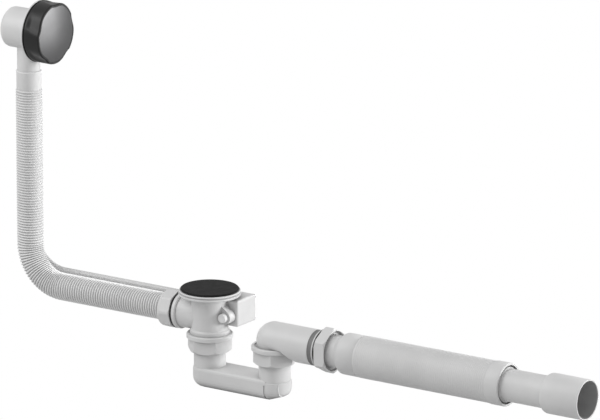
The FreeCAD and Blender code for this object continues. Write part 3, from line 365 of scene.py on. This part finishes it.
def add_piece(mesh, body, finish_name, sharp_angle):
    """Puts a mesh in the scene, smooth where it is round, and rides it on its body."""
    mesh.materials.append(finish(finish_name))
    mesh.shade_smooth()
    mesh.set_sharp_from_angle(angle=math.radians(sharp_angle))
    piece = bpy.data.objects.new(mesh.name, mesh)
    bpy.context.scene.collection.objects.link(piece)
    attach(piece, body)
    return piece


# Finishes

def new_finish(name):
    """An empty finish, with its shader and a pattern's place on the object."""
    material = bpy.data.materials.new(name)
    material.use_nodes = True
    tree = material.node_tree
    place = tree.nodes.new("ShaderNodeTexCoord")
    return material, tree, tree.nodes["Principled BSDF"], place.outputs["Object"]


def noise(tree, where, scale, detail=2.0):
    """Fine irregular pattern at a true scale, in turns per metre."""
    node = tree.nodes.new("ShaderNodeTexNoise")
    node.inputs["Scale"].default_value = scale
    node.inputs["Detail"].default_value = detail
    tree.links.new(where, node.inputs["Vector"])
    return node.outputs["Fac"]


def spread(tree, factor, low, high):
    """Turns a pattern, which lies mostly between 0.3 and 0.7, into a value from low to high."""
    node = tree.nodes.new("ShaderNodeMapRange")
    node.inputs["From Min"].default_value = 0.3
    node.inputs["From Max"].default_value = 0.7
    node.inputs["To Min"].default_value = low
    node.inputs["To Max"].default_value = high
    tree.links.new(factor, node.inputs["Value"])
    return node.outputs["Result"]


def uneven_gloss(tree, where, shader, roughness, scale, swing):
    """Lets the roughness swing a little to both sides of its middle value."""
    gloss = spread(tree, noise(tree, where, scale), roughness - swing, roughness + swing)
    tree.links.new(gloss, shader.inputs["Roughness"])


def tone(tree, factor, base, dark, light):
    """Varies a colour a little between two shades of it."""
    ramp = tree.nodes.new("ShaderNodeValToRGB")
    low, high = ramp.color_ramp.elements
    low.position = 0.35
    high.position = 0.65
    low.color = [channel * dark for channel in base] + [1.0]
    high.color = [min(1.0, channel * light) for channel in base] + [1.0]
    tree.links.new(factor, ramp.inputs["Fac"])
    return ramp.outputs["Color"]


def bump(tree, height, distance, strength):
    """Raises a pattern on the surface."""
    node = tree.nodes.new("ShaderNodeBump")
    node.inputs["Distance"].default_value = distance
    node.inputs["Strength"].default_value = strength
    tree.links.new(height, node.inputs["Height"])
    return node.outputs["Normal"]


def feed(tree, socket, value):
    """Gives a socket a linked value or a fixed one."""
    if isinstance(value, bpy.types.NodeSocket):
        tree.links.new(value, socket)
    else:
        socket.default_value = value


def arithmetic(tree, operation, value, against):
    """One step of arithmetic between two values."""
    node = tree.nodes.new("ShaderNodeMath")
    node.operation = operation
    feed(tree, node.inputs[0], value)
    feed(tree, node.inputs[1], against)
    return node.outputs["Value"]


def blended(tree, factor, first, second):
    """Mixes two colours."""
    node = tree.nodes.new("ShaderNodeMix")
    node.data_type = "RGBA"
    tree.links.new(factor, node.inputs["Factor"])
    feed(tree, node.inputs["A"], first)
    feed(tree, node.inputs["B"], second)
    return node.outputs["Result"]


def painted_corner_shade(tree, colour, base, dark, reach=0.008):
    """Paints shade into a colour in corners and gaps, where little light reaches pale plastic."""
    corner = tree.nodes.new("ShaderNodeAmbientOcclusion")
    corner.samples = 8
    corner.inputs["Distance"].default_value = reach
    # painted shade: the darker colour that corners and gaps take
    corner_shade_colour = [channel * dark for channel in base] + [1.0]
    return blended(tree, corner.outputs["AO"], corner_shade_colour, colour)


def moulded(name, base, roughness, grain=1600.0, depth=0.00002, sheen=0.5, dark=1.0):
    """Moulded plastic with a fine grain, a slight random flow of tone, uneven gloss and, when dark
    is below 1, painted shade in corners and gaps.
    """
    material, tree, shader, where = new_finish(name)
    colour = tone(tree, noise(tree, where, 26.0, 3.0), base, 0.965, 1.02)
    # painted shade in corners and gaps, where less light reaches
    if dark < 1.0:
        colour = painted_corner_shade(tree, colour, base, dark)
    tree.links.new(colour, shader.inputs["Base Color"])
    uneven_gloss(tree, where, shader, roughness, 140.0, 0.04)
    tree.links.new(bump(tree, noise(tree, where, grain), depth, 0.35), shader.inputs["Normal"])
    shader.inputs["Specular IOR Level"].default_value = sheen
    return material


def shaded(material, factor, shade):
    """Mixes painted shade into a finish where a factor says so."""
    tree = material.node_tree
    base = tree.nodes["Principled BSDF"].inputs["Base Color"]
    tree.links.new(blended(tree, factor, base.links[0].from_socket, (*shade, 1.0)), base)
    return material


def painted_bore_shade(material, radius, start):
    """Paints shade into a finish inside a bore round the outlet pipe's axis, from a start along it.
    """
    tree = material.node_tree
    place = tree.nodes.new("ShaderNodeTexCoord").outputs["Object"]
    along = tree.nodes.new("ShaderNodeSeparateXYZ")
    tree.links.new(place, along.inputs["Vector"])
    beyond = arithmetic(tree, "GREATER_THAN", along.outputs["X"], start)
    across = tree.nodes.new("ShaderNodeVectorMath")
    across.operation = "MULTIPLY_ADD"
    across.inputs[1].default_value = (0.0, 1.0, 1.0)
    across.inputs[2].default_value = (0.0, 0.0, bpy.context.scene.waste_pipe.drop)
    tree.links.new(place, across.inputs[0])
    reach = tree.nodes.new("ShaderNodeVectorMath")
    reach.operation = "LENGTH"
    tree.links.new(across.outputs["Vector"], reach.inputs[0])
    inside = arithmetic(tree, "LESS_THAN", reach.outputs["Value"], radius)
    both = arithmetic(tree, "MULTIPLY", beyond, inside)
    return shaded(material, both, bpy.context.scene.waste_finish.bore)


def paint_groove_shade(material, depth, shade):
    """Paints shade into a finish between its ribs, where little light reaches."""
    mark = material.node_tree.nodes.new("ShaderNodeAttribute")
    mark.attribute_name = depth
    return shaded(material, mark.outputs["Fac"], shade)


def satin(name, base, roughness):
    """Satin metal with a very fine even grain."""
    material, tree, shader, where = new_finish(name)
    colour = tone(tree, noise(tree, where, 60.0, 3.0), base, 0.97, 1.02)
    tree.links.new(colour, shader.inputs["Base Color"])
    uneven_gloss(tree, where, shader, roughness, 300.0, 0.02)
    shader.inputs["Metallic"].default_value = 1.0
    return material


def turned_metal(name, base, roughness):
    """Metal with fine turning lines round one axis."""
    material, tree, shader, where = new_finish(name)
    rings = tree.nodes.new("ShaderNodeTexWave")
    rings.wave_type = "RINGS"
    rings.rings_direction = "X"
    rings.inputs["Scale"].default_value = 900.0
    rings.inputs["Distortion"].default_value = 2.0
    tree.links.new(where, rings.inputs["Vector"])
    colour = tone(tree, noise(tree, where, 60.0, 3.0), base, 0.96, 1.03)
    tree.links.new(colour, shader.inputs["Base Color"])
    uneven_gloss(tree, where, shader, roughness, 300.0, 0.03)
    tree.links.new(bump(tree, rings.outputs["Fac"], 0.000004, 0.3), shader.inputs["Normal"])
    shader.inputs["Metallic"].default_value = 1.0
    return material


def plain_plastic(name, shade, roughness, **surface):
    """A maker of moulded plastic in one of the colours."""
    return lambda colours: moulded(name, getattr(colours, shade), roughness, **surface)


def make_hose_plastic(colours):
    """Smooth plastic with painted shade between the ribs."""
    plain = moulded("hose_plastic", colours.hose, 0.34, depth=0.000003)
    return paint_groove_shade(plain, "groove", colours.groove)


def make_pipe_plastic(colours):
    """Smooth plastic with painted shade inside the end collar."""
    plain = moulded("pipe_plastic", colours.pipe, 0.42, depth=0.000006)
    return painted_bore_shade(plain, radius=0.0241, start=0.430)


def make_socket_plastic(colours):
    """Plastic with painted shade inside the connector's socket."""
    return painted_bore_shade(moulded("socket_plastic", colours.white, 0.36), radius=0.0234, start=0.503)


finish_makers = {
    # dark: share of the colour left in corners and gaps, as painted shade
    "white_plastic": plain_plastic("white_plastic", "white", 0.36, dark=0.45),
    "light_plastic": plain_plastic("light_plastic", "light", 0.34, dark=0.6),
    "hose_plastic": make_hose_plastic,
    "pipe_plastic": make_pipe_plastic,
    "socket_plastic": make_socket_plastic,
    "seal_grey": plain_plastic("seal_grey", "seal_grey", 0.5),
    "seal_dark": plain_plastic("seal_dark", "seal_dark", 0.5),
    "seal_white": plain_plastic("seal_white", "seal_white", 0.5),
    "sheath_plastic": plain_plastic("sheath_plastic", "sheath", 0.35),
    "grey_plastic": plain_plastic("grey_plastic", "grey", 0.5),
    "black_plastic": plain_plastic("black_plastic", "black", 0.34, sheen=0.4),
    "matt_black": plain_plastic("matt_black", "matt_black", 0.55, grain=1100.0, depth=0.00004,
                                sheen=0.16),
    "black_rubber": plain_plastic("black_rubber", "rubber", 0.6, grain=900.0, depth=0.00005,
                                  sheen=0.35),
    "satin_metal": lambda colours: satin("satin_metal", colours.satin, 0.35),
    "steel": lambda colours: turned_metal("steel", colours.steel, 0.28),
    "brass": lambda colours: turned_metal("brass", colours.brass, 0.32),
}


def finish(name):
    """The named finish, made once."""
    made = bpy.data.materials.get(name + "_finish")
    if made is None:
        made = finish_makers[name](bpy.context.scene.waste_finish)
        made.name = name + "_finish"
    return made


def dress(nodes, name):
    """Gives CAD nodes a finish."""
    for node in nodes:
        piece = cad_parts[node]
        if not piece.data.materials:
            piece.data.materials.append(None)
        for index in range(len(piece.material_slots)):
            piece.material_slots[index].material = finish(name)


# Pieces

class WASTE_OT_hose(bpy.types.Operator):
    """Add the finely ribbed overflow hose with its smooth cuff and sleeve"""

    bl_idname = "waste.hose"
    bl_label = "Ribbed Hose"

    def execute(self, context):
        size = context.scene.waste_hose
        self.upright = size.cuff_low - (size.bend - size.level_drop)
        self.quarter = math.pi / 2 * size.bend
        self.level = size.axis_x - size.bend - size.far_end
        cuff = self.cuff_rings(size)
        ribs, groove_shades = self.rib_rings(size)
        inner = self.sleeve_rings(size) + self.bore_rings(size)
        rings = cuff + ribs + inner
        mesh = ring_loop("ribbed_hose", rings, size.sides)
        # painted shade: each ring's share of the groove shade, for the hose's finish to read
        values = [size.upright_shade] * len(cuff) + groove_shades + [0.0] * len(inner)
        mark_ring_shade(mesh, "groove", values, size.sides)
        piece = add_piece(mesh, "fittings", "hose_plastic", sharp_angle=75.0)
        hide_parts("overflow_hose")
        return {"FINISHED"}

    def station(self, size, distance):
        """Centre and heading at a distance from the cuff's foot."""
        if distance <= self.upright:
            return Vector((-size.axis_x, 0.0, size.cuff_low - distance)), straight_down
        if distance <= self.upright + self.quarter:
            angle = (distance - self.upright) / size.bend
            centre = Vector((size.bend - size.axis_x, 0.0, size.bend - size.level_drop))
            outward = Vector((-math.cos(angle), 0.0, -math.sin(angle)))
            heading = Vector((math.sin(angle), 0.0, -math.cos(angle)))
            return centre + outward * size.bend, heading
        total = self.upright + self.quarter + self.level
        return Vector((distance - total - size.far_end, 0.0, -size.level_drop)), along_pipe

    def cuff_rings(self, size):
        """The smooth cuff, with a bead at its upper edge."""
        outline = [(size.cuff_top, size.bore)]
        outline += edge_at(size.cuff_top, size.cuff_radius, cuff_bead)
        outline.append((size.cuff_low + cuff_overlap, size.cuff_radius))
        return [(Vector((-size.axis_x, 0.0, height)), straight_down, radius)
                for height, radius in outline]

    def rib_rings(self, size):
        """The ribs, and the share of painted groove shade on each ring: weak on the upright, full
        below it.
        """
        above = self.upright + self.quarter
        steep = round(above / size.pitch)
        flat = round(self.level / size.level_pitch)
        rings = []
        groove_shades = []
        for index in range((steep + flat) * size.steps + 1):
            phase = index / size.steps
            distance = above * min(phase, steep) / steep + self.level * max(phase - steep, 0) / flat
            past = distance - shade_rise_from * self.upright
            span = (1.0 - shade_rise_from) * self.upright + shade_rise_to * self.quarter
            lower = clamped(past / span)
            upper = 1.0 - lower
            # painted shade: full in the grooves of the bend and level stretch, a share of it over
            # the whole upright
            gap = 1.0 - rib_shape(phase, groove_flat)
            groove_shades.append(size.upright_shade * upper + gap * (size.upright_gap * upper + lower))
            centre, heading = self.station(size, distance)
            radius = size.root + (size.crest - size.root) * rib_shape(phase, rib_flat)
            rings.append((centre, heading, radius))
        return rings, groove_shades

    def sleeve_rings(self, size):
        """The plain sleeve in the nut, and the way back inside it."""
        lip = size.sleeve_start - sleeve_lip
        outline = [
            (size.sleeve_start, size.root), (size.sleeve_start, size.sleeve_radius),
            (size.sleeve_end, size.sleeve_radius), (size.sleeve_end, size.stub_radius),
            (lip, size.stub_radius), (lip, size.bore)]
        return [(Vector((-distance, 0.0, -size.level_drop)), along_pipe, radius)
                for distance, radius in outline]

    def bore_rings(self, size):
        """The smooth bore, from the sleeve back to the cuff."""
        total = self.upright + self.quarter + self.level
        steps = round(total / bore_step)
        stations = [self.station(size, total * index / steps) for index in range(steps, -1, -1)]
        return [(centre, heading, size.bore) for centre, heading in stations]


class WASTE_OT_pipe(bpy.types.Operator):
    """Add the outlet pipe with its tight folds and two collars"""

    bl_idname = "waste.pipe"
    bl_label = "Folded Pipe"

    def execute(self, context):
        size = context.scene.waste_pipe
        outline = self.neck(size) + self.folds(size) + self.end_collar(size)
        mesh = pipe_loop("folded_pipe", outline, size.drop, size.sides)
        piece = add_piece(mesh, "fittings", "pipe_plastic", sharp_angle=50.0)
        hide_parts("expanding_pipe")
        return {"FINISHED"}

    def neck(self, size):
        """The plain neck, which widens smoothly into the first collar."""
        outline = [(size.start, size.neck_radius)]
        flare = size.flare_end - size.flare_start
        rise = size.collar_radius - size.neck_radius
        steps = 8
        for index in range(steps + 1):
            share = index / steps
            outline.append((size.flare_start + flare * share, size.neck_radius + rise * ease(share)))
        return outline + edge_at(size.fold_start, size.collar_radius, collar_step)

    def folds(self, size):
        """The rounded folds, with a plain ring before and after them."""
        span = size.fold_end - size.fold_start
        folds = round(span / size.pitch)
        outline = [(size.fold_start - fold_margin, size.root)]
        for index in range(folds * size.steps + 1):
            phase = index / size.steps
            radius = size.root + (size.crest - size.root) * rib_shape(phase, fold_flat)
            outline.append((size.fold_start + span * phase / folds, radius))
        return outline + [(size.fold_end + fold_margin, size.root)]

    def end_collar(self, size):
        """The end collar with the seal's seat, and the way back inside."""
        seat = size.end - size.recess
        outline = edge_at(size.fold_end, size.end_radius, end_collar_step)
        outline += edge_at(size.end, size.end_radius, end_collar_edge)
        return outline + [
            (size.end, size.recess_radius), (seat, size.recess_radius), (seat, size.socket_radius),
            (size.fold_end + 2 * inner_step, size.socket_radius),
            (size.fold_end + inner_step, size.bore), (size.flare_end + 2 * inner_step, size.bore),
            (size.flare_start, size.neck_bore),
            (size.start, size.neck_bore)]


class WASTE_OT_connector(bpy.types.Operator):
    """Add the tail connector with a rounded shoulder before its socket"""

    bl_idname = "waste.connector"
    bl_label = "Tail Connector"

    def execute(self, context):
        size = context.scene.waste_connector
        outline = [(size.start, size.bore)]
        outline += edge_at(size.start, size.radius, tail_edge)
        outline += edge_at(size.step, size.radius, shoulder_groove)
        outline.append((size.step, size.step_radius))
        rise = size.socket_radius - size.step_radius
        steps = 10
        for step in range(1, steps + 1):
            angle = math.pi / 2 * step / steps
            place = size.step + size.shoulder * (1 - math.cos(angle))
            outline.append((place, size.step_radius + rise * math.sin(angle)))
        outline += edge_at(size.mouth, size.socket_radius, mouth_edge)
        outline += edge_at(size.mouth, size.socket_bore, mouth_bore_edge)
        outline += [(size.mouth - size.socket_depth, size.socket_bore), (size.step, size.bore)]
        mesh = pipe_loop("tail_connector", outline, size.drop, size.sides)
        piece = add_piece(mesh, "fittings", "socket_plastic", sharp_angle=32.0)
        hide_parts("end_connector")
        return {"FINISHED"}


class WASTE_OT_knob(bpy.types.Operator):
    """Add the knob with its finger dips, and the domed metal face that follows them"""

    bl_idname = "waste.knob"
    bl_label = "Dipped Knob"

    def execute(self, context):
        size = context.scene.waste_knob
        low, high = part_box("control_knob")
        back = low[0]
        front = high[0]
        seat = front - size.face_thick
        self.add_knob(size, back, front, seat)
        self.add_face(size, back, front, seat)
        return {"FINISHED"}

    def dip(self, size, back, front, place, turn):
        """Share of a dip's depth, which grows slowly, ends in a ridge and turns back on the side."""
        step = 360.0 / size.dips
        lag = size.dip_twist * clamped((front - place) / (front - back))
        off = (turn + lag - 90.0 + step / 2) % step - step / 2
        if off > 0:
            return max(0.0, 1.0 - (off / size.dip_steep) ** 2)
        return 0.5 + 0.5 * math.cos(math.pi * min(1.0, -off / size.dip_slow))

    def add_knob(self, size, back, front, seat):
        """The side, the web behind the face and the spindle's boss, with notches underneath."""

        def radius_at(place, radius, turn):
            if radius < core_radius:
                return radius
            depth = size.dip_depth * ease(clamped((place - back - dip_start) / dip_fade))
            return radius - depth * self.dip(size, back, front, place, turn)

        def along_at(place, radius, turn):
            for index in (-1, 0, 1):
                off = (turn + 90.0 - index * size.notch_step + 180.0) % 360.0 - 180.0
                if abs(off) < size.notch_half and place < back + size.notch_depth:
                    return back + size.notch_depth
            return place

        inner = size.radius - size.wall
        web = front - size.face_thick - size.wall
        boss = back + size.boss_drop
        fade = [back + fade_step * step for step in fade_rows] + [back + row for row in plain_rows]
        outline = [(back, inner + back_relief)]
        outline += edge_at(back, size.radius, knob_back_edge)
        outline += [(place, size.radius) for place in fade]
        outline += [
            (front - size.chamfer, size.radius), (front, size.radius - size.chamfer),
            (front, size.face_radius), (seat, size.face_radius), (seat, 0.0),
            (web - web_relief, 0.0), (web - web_relief, size.spindle_radius),
            (boss, size.spindle_radius), (boss, size.boss_radius),
            (web, size.boss_radius), (web, inner)]
        outline += [(place, inner) for place in reversed(fade)]
        mesh = dipped_loop("dipped_knob", outline, size, radius_at, along_at)
        piece = add_piece(mesh, "control", "black_plastic", sharp_angle=32.0)
        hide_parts("control_knob")

    def add_face(self, size, back, front, seat):
        """The domed metal face, whose edge follows the dips."""
        edge = size.face_radius - face_play
        rim = front - face_sink
        shares = [1.0, 0.985, 0.96, 0.92] + [step / 20 for step in range(17, -1, -1)]

        def radius_at(place, radius, turn):
            return radius * (edge - size.dip_depth * self.dip(size, back, front, front, turn)) / edge

        def along_at(place, radius, turn):
            reach = radius_at(place, radius, turn)
            return place if place == seat else rim + size.face_dome * (1 - (reach / edge) ** 2)

        outline = [(seat, 0.0), (seat, edge)]
        outline += [(rim, edge * share) for share in shares]
        mesh = dipped_loop("domed_face", outline, size, radius_at, along_at)
        piece = add_piece(mesh, "control", "satin_metal", sharp_angle=45.0)
        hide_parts("knob_face")


class WASTE_OT_fittings(bpy.types.Operator):
    """Give the moulded fittings, nuts, trap and sheath their plastic"""

    bl_idname = "waste.fittings"
    bl_label = "Moulded Fittings"

    def execute(self, context):
        dress(["waste_flange", "waste_body", "mechanism_box", "mechanism_cover", "lower_cable_gland",
               "upper_cable_gland", "hose_nut", "overflow_housing", "overflow_plate",
               "inlet_union_nut", "outlet_union_nut", "trap_body", "outlet_elbow", "clamp_ring",
               "elbow_nut", "end_ring"], "white_plastic")
        dress(["shaft_plug"], "light_plastic")
        dress(["cable_sheath"], "sheath_plastic")
        dress(["plug_stem", "lift_lever"], "grey_plastic")
        dress(["plug_disc"], "matt_black")
        return {"FINISHED"}


class WASTE_OT_seals(bpy.types.Operator):
    """Give the seals and washers their black, grey and white rubber"""

    bl_idname = "waste.seals"
    bl_label = "Seals"

    def execute(self, context):
        dress(["hose_seal", "overflow_seal", "inlet_washer", "outlet_washer", "elbow_seal",
               "plug_seal"], "black_rubber")
        dress(["elbow_band"], "seal_grey")
        dress(["end_seal"], "seal_dark")
        dress(["bath_seal"], "seal_white")
        return {"FINISHED"}


class WASTE_OT_metalwork(bpy.types.Operator):
    """Give the screws, shafts, forks and wire their metal"""

    bl_idname = "waste.metalwork"
    bl_label = "Metalwork"

    def execute(self, context):
        dress(["cover_screws", "overflow_screws", "spindle_clip", "cable_wire", "lever_shaft",
               "crank"], "steel")
        dress(["upper_fork", "lower_fork", "knob_spindle"], "brass")
        return {"FINISHED"}


# Stage

key_direction = (0.86, 0.50, 0.06)
front_direction = (-0.35, -0.60, 0.90)
near_place = (-1.1, -0.9, 0.9)
near_target = (-0.15, 0.0, 0.1)
card_place = (0.56, 0.585, 0.245)
card_target = (-0.25, 0.0, 0.295)
white = (1.0, 1.0, 1.0, 1.0)
floor_grey = (0.60, 0.60, 0.60, 1.0)
floor_gap = 0.0003


class WASTE_OT_stage(bpy.types.Operator):
    """Add the floor, the lamps, the even sky and the camera"""

    bl_idname = "waste.stage"
    bl_label = "Stage"

    def execute(self, context):
        stage = context.scene.waste_stage
        self.add_floor(context, stage)
        self.add_sky(context, stage)
        self.add_lamps(context, stage)
        self.add_camera(context, stage)
        context.scene.view_settings.view_transform = "Standard"
        return {"FINISHED"}

    def add_floor(self, context, stage):
        """A pale floor that the camera sees as the white backdrop."""
        half = stage.floor_size
        level = cad_box[0][2] - floor_gap
        mesh = bpy.data.meshes.new("floor")
        corners = [(-half, -half, level), (half, -half, level), (half, half, level),
                   (-half, half, level)]
        mesh.from_pydata(corners, [], [(0, 1, 2, 3)])
        material = bpy.data.materials.new("floor_white")
        material.use_nodes = True
        tree = material.node_tree
        shader = tree.nodes["Principled BSDF"]
        shader.inputs["Base Color"].default_value = floor_grey
        shader.inputs["Roughness"].default_value = 0.9
        shader.inputs["Specular IOR Level"].default_value = 0.0
        glow = tree.nodes.new("ShaderNodeEmission")
        glow.inputs["Strength"].default_value = 1.0
        self.camera_sees(tree, shader.outputs["BSDF"], glow.outputs["Emission"],
                         tree.nodes["Material Output"])
        mesh.materials.append(material)
        floor = bpy.data.objects.new("floor", mesh)
        context.scene.collection.objects.link(floor)

    def add_sky(self, context, stage):
        """Even light from all round, in front of a white backdrop."""
        world = bpy.data.worlds.new("studio_sky")
        world.use_nodes = True
        tree = world.node_tree
        even = tree.nodes["Background"]
        even.inputs["Color"].default_value = white
        even.inputs["Strength"].default_value = stage.sky
        backdrop = tree.nodes.new("ShaderNodeBackground")
        backdrop.inputs["Color"].default_value = white
        backdrop.inputs["Strength"].default_value = 1.0
        self.camera_sees(tree, even.outputs["Background"], backdrop.outputs["Background"],
                         tree.nodes["World Output"])
        context.scene.world = world

    def camera_sees(self, tree, light, seen, output):
        """Lights the scene with one shader and shows the camera another."""
        mix = tree.nodes.new("ShaderNodeMixShader")
        path = tree.nodes.new("ShaderNodeLightPath")
        tree.links.new(path.outputs["Is Camera Ray"], mix.inputs["Fac"])
        tree.links.new(light, mix.inputs[1])
        tree.links.new(seen, mix.inputs[2])
        tree.links.new(mix.outputs["Shader"], output.inputs["Surface"])

    def add_lamps(self, context, stage):
        """A low key lamp with a softer reflection, a front lamp and two lamps at the overflow."""
        key = self.add_sun(context, "key_lamp", stage.key, 25.0, key_direction)
        key.visible_glossy = False
        sheen = self.add_sun(context, "sheen_lamp", stage.sheen, 45.0, key_direction)
        sheen.visible_diffuse = False
        self.add_sun(context, "front_lamp", stage.front, 50.0, front_direction)
        self.add_panel(context, "near_lamp", stage.near, 0.8, near_place, near_target)
        card = self.add_panel(context, "card_lamp", stage.card, 0.5, card_place, card_target)
        card.visible_diffuse = False
        card.visible_camera = False

    def add_sun(self, context, name, strength, width, toward):
        """A far lamp in a direction, with its width as an angle."""
        lamp = bpy.data.lights.new(name, "SUN")
        lamp.energy = strength
        lamp.angle = math.radians(width)
        return self.place_lamp(context, lamp, (0.0, 0.0, 0.0), Vector(toward))

    def add_panel(self, context, name, strength, width, place, target):
        """A square lamp at a place, turned to a target."""
        lamp = bpy.data.lights.new(name, "AREA")
        lamp.energy = strength
        lamp.size = width
        return self.place_lamp(context, lamp, place, Vector(place) - Vector(target))

    def place_lamp(self, context, lamp, place, toward):
        """Puts a lamp in the scene with its back to a direction."""
        item = bpy.data.objects.new(lamp.name, lamp)
        item.location = place
        item.rotation_euler = toward.to_track_quat("Z", "Y").to_euler()
        context.scene.collection.objects.link(item)
        return item

    def add_camera(self, context, stage):
        """The camera, level with the horizon, at the photograph's angle."""
        data = bpy.data.cameras.new("camera")
        data.lens = stage.lens
        data.sensor_width = 36.0
        data.clip_start = 0.1
        data.clip_end = 60.0
        item = bpy.data.objects.new("camera", data)
        back = Vector(stage.camera_back).normalized()
        right = Vector((0.0, 0.0, 1.0)).cross(back).normalized()
        up = back.cross(right)
        turn = Matrix((right, up, back)).transposed().to_4x4()
        item.matrix_world = Matrix.Translation(Vector(stage.camera_at)) @ turn
        context.scene.collection.objects.link(item)
        context.scene.camera = item


class WASTE_PT_panel(bpy.types.Panel):
    """Lists the steps that dress the bath waste."""

    bl_idname = "WASTE_PT_panel"
    bl_label = "Bath Waste"
    bl_space_type = "VIEW_3D"
    bl_region_type = "UI"
    bl_category = "Bath Waste"

    def draw(self, context):
        for operator in operators:
            self.layout.operator(operator.bl_idname)
        for group in settings:
            column = self.layout.column()
            values = getattr(context.scene, group)
            for name in values.__annotations__:
                column.prop(values, name)


# Add-on

settings = {
    "waste_hose": HoseSettings,
    "waste_pipe": PipeSettings,
    "waste_connector": ConnectorSettings,
    "waste_knob": KnobSettings,
    "waste_finish": FinishSettings,
    "waste_stage": StageSettings,
}
operators = [WASTE_OT_fittings, WASTE_OT_seals, WASTE_OT_metalwork, WASTE_OT_hose, WASTE_OT_pipe,
             WASTE_OT_connector, WASTE_OT_knob, WASTE_OT_stage]
classes = [*settings.values(), *operators, WASTE_PT_panel]


def register():
    for item in classes:
        bpy.utils.register_class(item)
    for name, group in settings.items():
        setattr(bpy.types.Scene, name, PointerProperty(type=group))


def unregister():
    for name in settings:
        delattr(bpy.types.Scene, name)
    for item in reversed(classes):
        bpy.utils.unregister_class(item)


def main():
    """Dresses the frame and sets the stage."""
    register()
    for operator in operators:
        group, name = operator.bl_idname.split(".")
        getattr(getattr(bpy.ops, group), name)()


if __name__ == "__main__":
    main()
